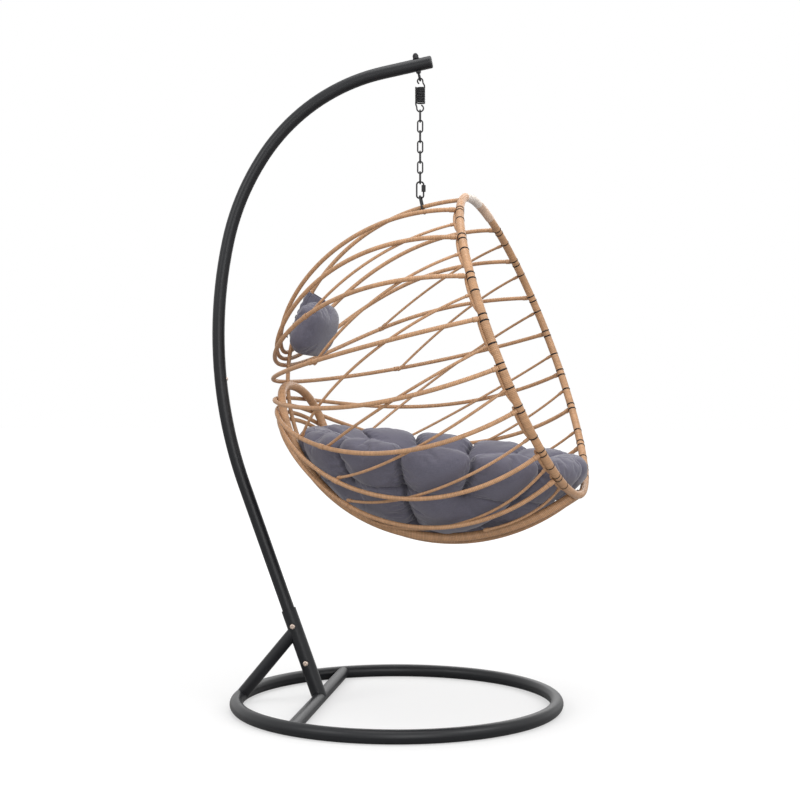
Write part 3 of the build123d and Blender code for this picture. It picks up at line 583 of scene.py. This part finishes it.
def hoop_line(shell, number):
    """A thick hoop, from the rim round the back to the rim."""
    around, pull, reach, behind = HOOPS[number]
    near = [shell.rim_angle(around), pull, (behind, reach), (behind, 0.0)]
    half = shell_line(shell, [near], shell.sizes.hoop_offset)
    return clear_of_rim(half[:-1] + mirrored(half, shell)[::-1], shell)


def slim_line(shell, number):
    """The near one of a pair of slim rods, from the rim to its end."""
    around, pull, end = SLIM_RODS[number]
    slim = rod_offsets(shell.sizes)[1]
    return clear_of_rim(shell_line(shell, [[shell.rim_angle(around), pull, end]], slim), shell)


def spine_line(shell, around):
    """The crown or keel rod, from the arch to a place on the rim."""
    crown = rod_offsets(shell.sizes)[0]
    sink = -0.002
    line = shell_line(shell, [[(ARCH_TOP[0], 0.0), shell.rim_angle(around)]], crown, sink)
    return clear_of_rim(line, shell)


def arch_line(shell):
    """The back arch, from the rim up over the back and down to the rim."""
    top, half_width = ARCH_TOP
    arch = rod_offsets(shell.sizes)[2]
    pull = 0.62
    corner = [(top, 0.0), (top, pull * half_width), (pull * top, half_width), (0.0, half_width)]
    leg = [(0.0, half_width), ARCH_KNEE, shell.rim_angle(ARCH_RIM)]
    half = shell_line(shell, [corner, leg], arch, 0.0)
    return clear_of_rim(half[::-1] + mirrored(half, shell)[1:], shell)


def rim_line(shell, first, last, steps):
    """Part of the rim's ring, between two angles from its top."""
    return [shell.rim_point(first + (last - first) * k / steps) for k in range(steps + 1)]


HOOP_SIDES, SLIM_SIDES, TUBE_SIDES = 12, 8, 16


class CHAIR_OT_hoops(bpy.types.Operator):
    """Wind the thick hoops and the slim rods of the basket with cane"""

    bl_idname = "chair.hoops"
    bl_label = "Wound hoops and rods"

    def execute(self, context):
        shell = Shell()
        sizes = shell.sizes
        for number in range(len(HOOPS)):
            line = hoop_line(shell, number)
            mesh = wound_tube(line, sizes.hoop_rod / 2, sizes.lay, sizes.groove, HOOP_SIDES,
                              start=300 * number)
            name = f"hoop_{number + 1}"
            add_piece(f"wound_{name}", mesh, [name])
        for number in range(len(SLIM_RODS)):
            line = slim_line(shell, number)
            pair = [wound_tube(side, sizes.slim_rod / 2, sizes.lay, sizes.groove * 0.8,
                               SLIM_SIDES, start=3000 + 300 * number + 120 * k)
                    for k, side in enumerate((line, mirrored(line, shell)))]
            name = f"slim_rods_{number + 1}"
            add_piece(f"wound_{name}", joined(pair), [name])
        return {"FINISHED"}


class CHAIR_OT_spine(bpy.types.Operator):
    """Wind the rim, the back arch, the crown rod and the keel rod with cane"""

    bl_idname = "chair.spine"
    bl_label = "Wound rim, arch and spine"

    def execute(self, context):
        shell = Shell()
        sizes = shell.sizes
        for name, line, tube, sides, start in (
            ("mouth_rim", rim_line(shell, 0, 360, 720), sizes.rim_tube, TUBE_SIDES, 9000),
            ("back_arch", arch_line(shell), sizes.arch_tube, TUBE_SIDES, 10000),
            ("crown_rod", spine_line(shell, 0), sizes.hoop_rod, HOOP_SIDES, 11000),
            ("keel_rod", spine_line(shell, 180), sizes.hoop_rod, HOOP_SIDES, 11500),
        ):
            wound = wound_tube(line, tube / 2, sizes.lay, sizes.groove, sides,
                               closed=name == "mouth_rim", start=start)
            add_piece(f"wound_{name}", wound, [name])
        return {"FINISHED"}


# ---- Lashings


def line_length(line):
    return sum((b - a).length for (a, _), (b, _) in zip(line, line[1:]))


def nearest(line, place):
    """How far off, in metres, the line's point nearest to a place lies, and how far along."""
    run, best = 0.0, (math.inf, 0.0)
    for (a, _), (b, _) in zip(line, line[1:]):
        best = min(best, ((a - place).length, run))
        run += (b - a).length
    return best


def collar(line, middle, length, radius, sizes, start):
    """A short band of finer cane round a rod, centred at a distance along its line."""
    run, part = 0.0, []
    for k, (place, out) in enumerate(line):
        run += (place - line[k - 1][0]).length if k else 0.0
        if abs(run - middle) <= length / 2:
            part.append((place, out))
    return wound_tube(part, radius, sizes.lay * 0.62, sizes.groove, 14, start=start)


# Each lashing's length, and how far it stands out of its rod
ON_HOOP, HOOP_END = (0.020, 0.0013), (0.019, 0.0011)
SLIM_END, SLIM_START = (0.017, 0.0012), (0.016, 0.0010)
# The pale bands at the rim's top, partly a paler wrapping and partly a painted highlight fading down the rim's
# side: name, colour, first and last angle
PALE_BANDS = (("rim_top_band_and_highlight", (0.76, 0.68, 0.61, 1), -12.0, 10.0),
              ("rim_side_band_and_highlight", (0.64, 0.46, 0.34, 1), 10.1, 24.0))


def rim_tails(shell):
    """The near ends of the hoops, bent to run down behind the rim."""
    sizes = shell.sizes
    beside = (sizes.rim_tube + sizes.hoop_rod) / 2 - 0.002
    steps, before, reach = 60, 1.2, 14
    tails = []
    for number, (around, _, _, _) in enumerate(HOOPS):
        line = []
        for k in range(steps + 1):
            share = k / steps
            place, out = shell.rim_point(-around - reach * share + before)
            sink = 0.010 * share ** 5 + 0.004 * (1 - share) ** 8
            line.append((place + shell.back * (beside - sink) - out * 0.003, out))
        tails.append(wound_tube(line, sizes.hoop_rod / 2 - 0.0008, sizes.lay, sizes.groove,
                                HOOP_SIDES, start=40000 + 100 * number))
    add_piece("rim_hoop_tails", joined(tails))


def rim_threads(shell):
    """Black thread round the rim, twice at a hoop and once at a slim rod."""
    radius = shell.sizes.rim_tube / 2 + 0.0008
    apart, half = 1.1, 0.16
    places = [around + step for around, _, _, _ in HOOPS for step in (-apart, apart)]
    places += [around for around, _, _ in SLIM_RODS]
    rings = []
    for around in places:
        for side in (1, -1):
            ring = rim_line(shell, side * around - half, side * around + half, 8)
            rings.append(wound_tube(ring, radius, lay=0.0013, groove=0.0002, sides=20))
    add_piece("rim_tie_threads", joined(rings), slot="black_tape")


def rod_lashings(shell):
    """Cane round both ends of every rod, and round the hoop where a slim rod ends."""
    sizes = shell.sizes
    hoops = [hoop_line(shell, number) for number in range(len(HOOPS))]
    bands = []

    def bind(line, middle, rod, kind, start):
        length, proud = kind
        bands.append(collar(line, middle, length, rod / 2 + proud, sizes, start))

    start = 20000
    for number in range(len(SLIM_RODS)):
        half = slim_line(shell, number)
        for line in (half, mirrored(half, shell)):
            (off, along), hoop = min(((nearest(each, line[-1][0]), each) for each in hoops),
                                     key=lambda found: found[0][0])
            if off < 0.03:
                bind(hoop, along, sizes.hoop_rod, ON_HOOP, start)
            bind(line, line_length(line) - 0.012, sizes.slim_rod, SLIM_END, start + 20)
            bind(line, 0.010, sizes.slim_rod, SLIM_START, start + 40)
            start += 60
    for line in hoops:
        for middle in (0.011, line_length(line) - 0.011):
            bind(line, middle, sizes.hoop_rod, HOOP_END, start)
            start += 20
    add_piece("rod_lashings", joined(bands))


class CHAIR_OT_lashings(bpy.types.Operator):
    """Bind the slim rods to the hoops, and every rod to the rim"""

    bl_idname = "chair.lashings"
    bl_label = "Lashings and rim bands"

    def execute(self, context):
        shell = Shell()
        sizes = shell.sizes
        rod_lashings(shell)
        rim_tails(shell)
        rim_threads(shell)
        cane = tuple(context.scene.chair_colours.cane)
        # pale bands round the rim's top: a paler wrapping with a painted highlight over it
        for name, light, first, last in PALE_BANDS:
            wound = wound_tube(rim_line(shell, first, last, 90), sizes.rim_tube / 2 + 0.0013,
                               sizes.lay * 1.4, 0.0007, 24, start=30000)
            add_piece(name, wound, material=wound_cane(name + "_cane", light, cane))
        return {"FINISHED"}


# ---- Cushions


class Dish:
    """The bowl that the seat cushion fills, as its solid has it."""

    # Two places on its edge, as distances behind and above the mouth's middle
    FRONT, BACK = (-0.020, -0.366), (0.700, -0.006)
    ROWS = (math.radians(70), math.radians(34))  # the tufted rows, from the bottom

    def __init__(self, shell):
        self.shell = shell
        self.sizes = bpy.context.scene.chair_cushions
        front, back = (shell.place(*spot, 0) for spot in (self.FRONT, self.BACK))
        self.centre = (front + back) / 2
        self.rear = (back - front).normalized()
        self.across = shell.side
        self.down = self.rear.cross(self.across)
        if self.down.z > 0:
            self.down.negate()

    def direction(self, row, around):
        """The way out from the middle at a row angle and an angle round the dish."""
        flat = self.rear * math.cos(around) + self.across * math.sin(around)
        return self.down * math.cos(row) + flat * math.sin(row)

    def angles(self, place):
        """Row angle and angle round the dish of a point."""
        way = (place - self.centre).normalized()
        return (math.acos(max(-1.0, min(1.0, way.dot(self.down)))),
                math.atan2(way.dot(self.across), way.dot(self.rear)))

    def reach(self, way, inset):
        """Distance from the middle to the shell moved in by the inset."""
        shell = self.shell
        deep, wide = (shell.sizes.shell_depth - inset, shell.sizes.shell_radius - inset)
        start = self.centre - shell.place(shell.sizes.mouth_setback, 0, 0)
        scaled = ((shell.back, deep), (shell.up, wide), (shell.side, wide))
        p = [start.dot(axis) / half for axis, half in scaled]
        d = [way.dot(axis) / half for axis, half in scaled]
        squares = sum(v * v for v in d)
        middle = sum(u * v for u, v in zip(p, d)) / squares
        return -middle + math.sqrt(middle ** 2 - (sum(u * u for u in p) - 1) / squares)

    def creases(self, row, around, radius):
        """Distances to the nearest crease up the dish, to any crease and to the nearest tuft."""
        high, low = self.ROWS
        count = self.sizes.segments
        turn = (around - math.radians(self.sizes.turn)) * count / (2 * math.pi)
        flat = radius * math.sin(row) * 2 * math.pi / count

        def aside(value, every):
            part = value % every
            return min(part, every - part) * flat

        radial = aside(turn, 1) if row > high else aside(turn + 1, 2) if row > low else 1.0
        across = min(abs(row - high), abs(row - low)) * radius
        tuft = min(math.hypot(aside(turn, 1), (row - high) * radius),
                   math.hypot(aside(turn + 1, 2), (row - low) * radius))
        return radial, across, tuft

    def outside(self, place):
        """Whether a point is in the cushion's outer half, against the rods."""
        way = place - self.centre
        middle = self.reach(way.normalized(), self.sizes.gap + self.sizes.thickness / 2)
        return way.length > middle


def crown(distance, width):
    """0 on a crease, rising like a quarter circle to 1 at the width."""
    share = 1 - min(1.0, distance / width)
    return math.sqrt(1 - share * share)


def puffed(piece, held, pressure, cap, voxel, growth):
    """Swell a closed cover with a short cloth simulation and keep the result in its mesh."""
    scene = bpy.context.scene
    last_frame = 20
    bpy.context.view_layer.objects.active = piece
    piece.select_set(True)
    remesh = piece.modifiers.new("even", "REMESH")
    remesh.mode = "VOXEL"
    remesh.voxel_size = voxel
    bpy.ops.object.modifier_apply(modifier=remesh.name)
    rest = np.array([v.co for v in piece.data.vertices])
    group = piece.vertex_groups.new(name="held")
    for vert in piece.data.vertices:
        weight = held(vert.co)
        if weight > 0:
            group.add([vert.index], weight, "REPLACE")
    cloth = piece.modifiers.new("fill", "CLOTH")
    settings = cloth.settings
    settings.quality = 6
    settings.mass = 0.2
    settings.tension_stiffness = settings.compression_stiffness = 15
    settings.shear_stiffness = 8
    settings.bending_stiffness = 0.35
    settings.use_pressure = True
    settings.uniform_pressure_force = pressure
    settings.effector_weights.gravity = 0
    settings.vertex_group_mass = group.name
    settings.shrink_min = -growth
    cloth.collision_settings.use_collision = False
    for number in range(1, last_frame + 1):
        scene.frame_set(number)
    shown = piece.evaluated_get(bpy.context.evaluated_depsgraph_get())
    moved = np.array([v.co for v in shown.to_mesh().vertices]) - rest
    shown.to_mesh_clear()
    piece.modifiers.remove(cloth)
    piece.vertex_groups.clear()
    size = np.linalg.norm(moved, axis=1)
    share = np.minimum(1.0, cap / np.maximum(size, 1e-9))
    piece.data.vertices.foreach_set("co", (rest + moved * share[:, None]).ravel())
    piece.data.update()
    piece.data.shade_smooth()
    scene.frame_set(1)
    piece.select_set(False)


def finer(piece):
    """Smooth a cushion's mesh by one level."""
    modifier = piece.modifiers.new("finer", "SUBSURF")
    modifier.levels = modifier.render_levels = 1


def add_cords(piece, paths, radius, attribute):
    """Sew thin cords along the paths into a piece, marked with an attribute."""
    data = piece.data
    whole = bmesh.new()
    whole.from_mesh(data)
    layer = whole.verts.layers.float.new(attribute)
    plain = len(whole.verts)
    for path in paths:
        append(whole, wound_tube(path, radius, lay=0.02, groove=0.0, sides=6))
    whole.verts.ensure_lookup_table()
    for vert in whole.verts[plain:]:
        vert[layer] = 1.0
    whole.to_mesh(data)
    whole.free()
    data.shade_smooth()


# The cover's rounded edge, its tufts and creases, and what pucker() adds to them
RIM_RADIUS = 0.42
EDGE_ROW, EDGE_HEIGHT, NOTCH = math.radians(90.5), 0.055, 0.030
TUFT_DEPTH, TUFT_WIDTH = 0.012, 0.03
FOLD_HEIGHT, FOLD_LENGTH, FOLD_REACH = 0.0018, 0.034, 0.024
# TUFT_SHADE: how far the painted shade reaches round a tuft
VALLEY_WIDTH, VALLEY_DEPTH, ACROSS_DEPTH, TUFT_SHADE = 0.010, 0.010, 0.008, 0.012
STAR_HEIGHT, STAR_REACH, STAR_FOLDS = 0.0035, 0.035, 5


def outline(share, top, edge):
    """Row angle and depth through the cushion, at a share of its section's outline."""
    flat = 0.40
    if share < flat:
        return (top - edge) * share / flat, 0.0
    if share > 1 - flat:
        return (top - edge) * (1 - share) / flat, 1.0
    turn = math.pi * (share - flat) / (1 - 2 * flat)
    return top - edge + edge * math.sin(turn) ** 0.75, (1 - math.cos(turn)) / 2


def cover(dish):
    """The sewn cover before it is filled."""
    sizes = dish.sizes
    mesh = bmesh.new()
    bmesh.ops.create_uvsphere(mesh, u_segments=264, v_segments=160, radius=1.0)
    for vert in mesh.verts:
        around = math.atan2(vert.co.y, vert.co.x)
        share = 1 - math.acos(max(-1.0, min(1.0, vert.co.z))) / math.pi
        radial = dish.creases(math.radians(89), around, RIM_RADIUS)[0]
        notch = NOTCH * (1 - crown(radial, sizes.round_over)) / RIM_RADIUS
        row, depth = outline(share, EDGE_ROW - notch, EDGE_HEIGHT / RIM_RADIUS)
        way = dish.direction(row, around)
        radius = dish.reach(way, sizes.gap)
        radial, across, tuft = dish.creases(row, around, radius)
        up, along = (1 - crown(crease, sizes.round_over) for crease in (radial, across))
        pin = TUFT_DEPTH * math.exp(-(tuft / TUFT_WIDTH) ** 2)
        outer = sizes.gap + sizes.outer_crease * max(up, 0.30 * along) + pin
        inner = sizes.gap + sizes.thickness - sizes.inner_crease * max(up, along) - pin
        reach = dish.reach(way, outer) * (1 - depth) + dish.reach(way, inner) * depth
        vert.co = dish.centre + way * reach
    bmesh.ops.remove_doubles(mesh, verts=mesh.verts, dist=1e-5)
    bmesh.ops.recalc_face_normals(mesh, faces=mesh.faces)
    return mesh


def pucker(dish, piece):
    """Draw every crease in, with short folds beside it and a few round each tuft, and keep painted shade for the
    creases and tufts in the fold attribute.
    """
    data = piece.data
    # fold holds painted shade, darkest in the crease valleys and round the tufts
    shadow = data.attributes.new("fold", "FLOAT", "POINT")
    normals = [v.normal.copy() for v in data.vertices]
    for vert, normal in zip(data.vertices, normals):
        row, around = dish.angles(vert.co)
        radius = (vert.co - dish.centre).length
        radial, across, tuft = dish.creases(row, around, radius)
        soft = 0.35 if dish.outside(vert.co) else 1.0
        run = row * radius if radial < across else around * radius * math.sin(row)
        near = math.exp(-(min(radial, across / soft) / FOLD_REACH) ** 2)
        drift = noise.noise(vert.co * 11)
        fold = math.sin(run * 2 * math.pi / FOLD_LENGTH + 5 * drift) * near * FOLD_HEIGHT
        up, along = (max(0.0, 1 - crease / VALLEY_WIDTH) ** 1.5 for crease in (radial, across))
        valley = max(up * VALLEY_DEPTH, soft * along * ACROSS_DEPTH)
        tufted = min(dish.ROWS, key=lambda other: abs(other - row))
        star = math.cos(STAR_FOLDS * math.atan2(row - tufted, radial / radius) + 4 * drift)
        star *= math.exp(-tuft / STAR_REACH) * STAR_HEIGHT
        wide = noise.noise(vert.co * 8) * 0.005 + noise.noise(vert.co * 23) * 0.0014
        vert.co += normal * (fold + star + wide - valley)
        # painted shade for the creases and tufts
        shadow.data[vert.index].value = min(
            1.0, valley / VALLEY_DEPTH + math.exp(-tuft / TUFT_SHADE))
    data.update()


def crests(dish, piece):
    """Paths of the piping along the top of every padded segment."""
    tree = BVHTree.FromPolygons([v.co for v in piece.data.vertices],
                                [tuple(p.vertices) for p in piece.data.polygons])
    count = dish.sizes.segments
    inmost, step, steps, above, spots = 0.27, 0.004, 48, 0.25, 24

    def dropped(around, radius):
        """Where a plumb line meets the cushion, and the way out of it there."""
        flat = dish.direction(math.pi / 2, around)
        start = dish.centre + flat * radius - dish.down * above
        return tree.ray_cast(start, dish.down)[:2]

    paths = []
    for segment in range(count):
        tops, path = [], []
        for k in range(spots + 1):
            around = (math.radians(dish.sizes.turn)
                      + 2 * math.pi * (segment + 0.05 + 0.9 * k / spots) / count)
            radii = [inmost + step * number for number in range(steps)]
            hits = [(dropped(around, radius)[0], radius) for radius in radii]
            heights = [(-place.dot(dish.down), radius) for place, radius in hits
                       if place is not None]
            if heights:
                tops.append((around, max(heights)[1]))
        for k, (around, _) in enumerate(tops):
            near = [radius for _, radius in tops[max(0, k - 4):k + 5]]
            place, normal = dropped(around, sum(near) / len(near) + step)
            if place is not None:
                path.append((place + normal * 0.0002, normal))
        paths.append(path)
    return paths


class CHAIR_OT_seat_cushion(bpy.types.Operator):
    """Sew, tuft and fill the dished seat cushion"""

    bl_idname = "chair.seat_cushion"
    bl_label = "Seat cushion"

    def execute(self, context):
        dish = Dish(Shell())
        piece = add_piece("tufted_seat_cushion", cover(dish), ["seat_cushion"], "slate_fabric")

        def held(place):
            """1 on the seams and tufts that the filling can't lift."""
            row, around = dish.angles(place)
            radial, across, tuft = dish.creases(row, around, (place - dish.centre).length)
            seam = radial if dish.outside(place) else min(radial, across)
            return 1.0 if seam < 0.0065 or tuft < 0.014 else 0.0

        puffed(piece, held, 4.0, 0.022, 0.006, 0.05)
        pucker(dish, piece)
        piping = [path for path in crests(dish, piece) if len(path) > 4]
        # the seam attribute marks the piping, which the fabric lightens as a painted highlight
        add_cords(piece, piping, 0.0017, "seam")
        finer(piece)
        return {"FINISHED"}


def skin(mesh, rows, closed=False):
    """Faces between rows of vertices, which may close into rings with ends."""
    for near, far in zip(rows, rows[1:]):
        for k in range(len(near) if closed else len(near) - 1):
            after = (k + 1) % len(near)
            mesh.faces.new((near[k], near[after], far[after], far[k]))
    if closed:
        mesh.faces.new(rows[0][::-1])
        mesh.faces.new(rows[-1])
    bmesh.ops.recalc_face_normals(mesh, faces=mesh.faces)


def strip(path, width, thickness):
    """A flat strap along places with their outward directions."""
    mesh = bmesh.new()
    rows = []
    for k, (place, out) in enumerate(path):
        ahead = path[min(k + 1, len(path) - 1)][0] - path[max(k - 1, 0)][0]
        aside = ahead.cross(out).normalized() * width / 2
        lift = out.normalized() * thickness / 2
        rows.append([mesh.verts.new(place + x + y) for x, y in
                     ((aside, lift), (-aside, lift), (-aside, -lift), (aside, -lift))])
    skin(mesh, rows, closed=True)
    return mesh


PILLOW_STATION = 39.5  # degrees up from the shell's back
HALF_WIDTH, HALF_HEIGHT, HALF_DEPTH = 0.134, 0.082, 0.036
ROUNDNESS = 3.4  # 2 is an ellipsoid, more is boxier
FLAP_STATION, FLAP_LENGTH, FLAP_STEPS = 42.2, 8.4, 24
FLAP_WRAP = 1.35  # round the rod, in half turns
TIES = ((38.2, 1), (41.0, -1))  # station, and which way the tails swing


def pillow(shell):
    """The bolster: a rounded block that narrows to its top edge on the sitter's side."""
    mesh = bmesh.new()
    bmesh.ops.create_uvsphere(mesh, u_segments=64, v_segments=40, radius=1.0)
    low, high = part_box("headrest_pillow")
    middle = (low + high) / 2
    out = shell.point(PILLOW_STATION, 0.0, 0.0)[1]
    along = shell.side.cross(out)
    if along.z < 0:
        along.negate()
    for vert in mesh.verts:
        power = sum(abs(value) ** ROUNDNESS for value in vert.co)
        aside, deep, rise = vert.co * (1 / power ** (1 / ROUNDNESS))
        top = max(0.0, rise) ** 2
        vert.co = (middle + shell.side * aside * HALF_WIDTH
                   + along * (rise * HALF_HEIGHT - 0.004)
                   + out * (deep * (HALF_DEPTH - 0.008 * top) + 0.007 * top))
    piece = add_piece("headrest_bolster", mesh, ["headrest_pillow"], "slate_fabric")
    puffed(piece, lambda place: 0.0, 4.0, 0.012, 0.005, 0.04)
    finer(piece)


def flap(shell):
    """The folded flap that goes over the crown rod and back down to the pillow."""
    offset = rod_offsets(shell.sizes)[0]
    section = []
    for k in range(33):
        turn = math.pi * (k / 32 - 0.5) * FLAP_WRAP
        section.append((math.sin(turn) * 0.0145, math.cos(turn) * 0.0115))
    foot = [(-0.0175 + 0.0006 * k, -0.046 + 0.0062 * k) for k in range(7)]
    section = foot + section + [(-x, y) for x, y in foot[::-1]]
    spine = [shell.point(FLAP_STATION + FLAP_LENGTH * k / FLAP_STEPS, 0.0, offset)
             for k in range(FLAP_STEPS + 1)]
    mesh = bmesh.new()
    rows = []
    for k, (place, out) in enumerate(spine):
        ripple = 0.0012 * math.sin(k * 0.9)
        rows.append([mesh.verts.new(place + shell.side * (x * (1 + 6 * ripple))
                                    + out * (y + ripple * (1 if y > 0 else 0)))
                     for x, y in section])
    skin(mesh, rows)
    piece = add_piece("headrest_flap_cloth", mesh, ["headrest_flap"], "slate_fabric")
    wall = piece.modifiers.new("wall", "SOLIDIFY")
    wall.thickness = 0.0018
    wall.offset = 0
    line_length(spine)


def ties(shell):
    """Tape rings round the crown rod, with a knot and two tails each."""
    offset = rod_offsets(shell.sizes)[0]
    steps = 12
    parts = []
    for station, swing in TIES:
        place, out = shell.point(station, 0.0, offset)
        ring = []
        for k in range(33):
            turn = 2 * math.pi * k / 32
            way = out * math.cos(turn) + shell.side * math.sin(turn)
            ring.append((place + way * 0.0082, way))
        parts.append(strip(ring, 0.008, 0.0014))
        below = shell.point(station - 4, 0.0, offset)[0]
        down = (below - place).normalized()
        knot = place + out * 0.0105
        cross = [(knot + shell.side * 0.006 * (k - 2) / 2, out) for k in range(5)]
        parts.append(strip(cross, 0.010, 0.0048))
        for side in (1, -1):
            tail = []
            for k in range(steps + 1):
                share = k / steps
                tail.append((knot + down * (0.004 + 0.040 * share)
                             + shell.side * side * (0.003 + 0.012 * share)
                             + out * (0.002 + 0.006 * math.sin(3 * share * swing)),
                             out + shell.side * 0.3 * side * math.sin(4 * share)))
            parts.append(strip(tail, 0.007, 0.0012))
    add_piece("headrest_tie_tapes", joined(parts), ["headrest_ties"], "black_tape", smooth=False)


class CHAIR_OT_headrest(bpy.types.Operator):
    """Fill the headrest pillow and hang it by its flap and ties"""

    bl_idname = "chair.headrest"
    bl_label = "Headrest"

    def execute(self, context):
        shell = Shell()
        pillow(shell)
        flap(shell)
        ties(shell)
        return {"FINISHED"}


# ---- Hardware


SOFT = {"seat_cushion", "headrest_pillow", "headrest_flap", "headrest_ties"}
WOUND = ({f"hoop_{k}" for k in range(1, 9)} | {f"slim_rods_{k}" for k in range(1, 9)}
         | {"mouth_rim", "back_arch", "crown_rod", "keel_rod"})


class CHAIR_OT_hardware(bpy.types.Operator):
    """Finish the stand and the hanging hardware, and remake the spring as a piece with merged vertices"""

    bl_idname = "chair.hardware"
    bl_label = "Stand and hardware"

    def execute(self, context):
        own = set(frame["nodes"]) - SOFT - WOUND - {"spring"}
        dress_nodes(sorted(own))
        frame["nodes"]["socket_washers"].data.materials[0] = finish_of("black_hardware")
        mesh = bmesh.new()
        mesh.from_mesh(frame["nodes"]["spring"].data)
        bmesh.ops.remove_doubles(mesh, verts=mesh.verts, dist=MERGE)
        piece = add_piece("coil_spring", mesh, ["spring"], "black_hardware", None, smooth=False)
        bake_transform(piece)
        return {"FINISHED"}


# ---- Stage


BLACK, WHITE = (0, 0, 0, 1), (1, 1, 1, 1)


class CHAIR_OT_stage(bpy.types.Operator):
    """Light the chair on a pale studio floor and set the camera"""

    bl_idname = "chair.stage"
    bl_label = "Studio stage"

    AIM = (0.1, 0.0, 0.95)
    LIGHTS = (  # name, place, width, watts
        ("key", (-3.0, -3.0, 3.0), 1.8, 42),
        ("front", (1.2, -4.4, 1.7), 2.6, 62),
        ("side", (3.6, -1.6, 3.0), 1.8, 50),
        ("top", (0.2, -0.4, 4.2), 2.4, 60),
        ("rear", (0.4, 3.4, 2.6), 2.6, 36),
    )
    CAMERA_PLACE = (0.5908, -4.3295, 0.9236)
    CAMERA_YAW = 7.637
    LENS, SENSOR = 65.27, 36

    def floor(self, colour):
        """A floor that takes shadows near the chair and glows white further out."""
        finish = Finish("studio_floor")
        seen = finish.node("ShaderNodeLightPath", output="Is Camera Ray")
        away = finish.node("ShaderNodeVectorMath", {"operation": "LENGTH"}, output="Value",
                           **{"0": finish.place()})
        glow = seen * (0.64 + 0.36 * away.ramp(1.1, 3.4))
        finish.feed(finish.shader, {"Emission Strength": 0.80, "Specular IOR Level": 0.0})
        paint = finish.surface(
            Base_Color=finish.mix(finish.noise(3, 2), colour, shade(colour, 1.02)),
            Emission_Color=finish.mix(glow, BLACK, WHITE), Roughness=0.9)
        mesh = bmesh.new()
        bmesh.ops.create_grid(mesh, x_segments=1, y_segments=1, size=40)
        data = mesh_of(mesh, "studio_floor")
        data.materials.append(paint)
        placed("studio_floor", data, (0, 0, -0.001))

    def sky(self):
        """A white surround that is softer as a light than as it is seen."""
        world = bpy.data.worlds.new("studio_white")
        bpy.context.scene.world = world
        graph = Graph(world)
        camera, glossy, through = (
            graph.node("ShaderNodeLightPath", output=f"Is {kind} Ray")
            for kind in ("Camera", "Glossy", "Transmission"))
        soft, white = (graph.node("ShaderNodeBackground", Color=WHITE, Strength=strength)
                       for strength in (0.60, 1.0))
        mixed = graph.node("ShaderNodeMixShader",
                           **{"0": camera.either(glossy).either(through), "1": soft, "2": white})
        graph.feed(graph.nodes["World Output"], {"Surface": mixed})

    def execute(self, context):
        scene = context.scene
        self.floor(tuple(scene.chair_colours.floor))
        self.sky()
        for name, place, width, power in self.LIGHTS:
            lamp = bpy.data.lights.new(name, "AREA")
            lamp.size = width
            lamp.energy = power
            light = placed(name, lamp, place)
            turn = Vector(self.AIM) - light.location
            light.rotation_euler = turn.to_track_quat("-Z", "Y").to_euler()
        scene.view_settings.view_transform = "Standard"
        lens = bpy.data.cameras.new("camera")
        lens.lens = self.LENS
        lens.sensor_width = self.SENSOR
        camera = placed("camera", lens, self.CAMERA_PLACE)
        camera.rotation_euler = (math.radians(90), 0, math.radians(self.CAMERA_YAW))
        scene.camera = camera
        return {"FINISHED"}


# ---- Add-on


class CHAIR_PT_panel(bpy.types.Panel):
    """The chair's pieces, sizes and colours"""

    bl_idname = "CHAIR_PT_panel"
    bl_label = "Hanging Egg Chair"
    bl_space_type = "VIEW_3D"
    bl_region_type = "UI"
    bl_category = "Egg Chair"

    def draw(self, context):
        for operator in OPERATORS:
            self.layout.operator(operator.bl_idname)
        for name in ("chair_basket", "chair_cushions", "chair_colours"):
            box = self.layout.box()
            settings = getattr(context.scene, name)
            for key in settings.bl_rna.properties.keys():
                if key not in ("rna_type", "name"):
                    box.prop(settings, key)


OPERATORS = (
    CHAIR_OT_hardware,
    CHAIR_OT_spine,
    CHAIR_OT_hoops,
    CHAIR_OT_lashings,
    CHAIR_OT_seat_cushion,
    CHAIR_OT_headrest,
    CHAIR_OT_stage,
)
GROUPS = (("chair_basket", BasketSizes), ("chair_cushions", CushionSizes),
          ("chair_colours", Colours))


def register():
    for name, group in GROUPS:
        bpy.utils.register_class(group)
        setattr(bpy.types.Scene, name, bpy.props.PointerProperty(type=group))
    for kind in (*OPERATORS, CHAIR_PT_panel):
        bpy.utils.register_class(kind)


def unregister():
    for kind in (CHAIR_PT_panel, *reversed(OPERATORS)):
        bpy.utils.unregister_class(kind)
    for name, group in reversed(GROUPS):
        delattr(bpy.types.Scene, name)
        bpy.utils.unregister_class(group)


def main():
    """Build every piece in order."""
    register()
    for operator in OPERATORS:
        getattr(bpy.ops.chair, operator.bl_idname.split(".")[1])()


if __name__ == "__main__":
    main()
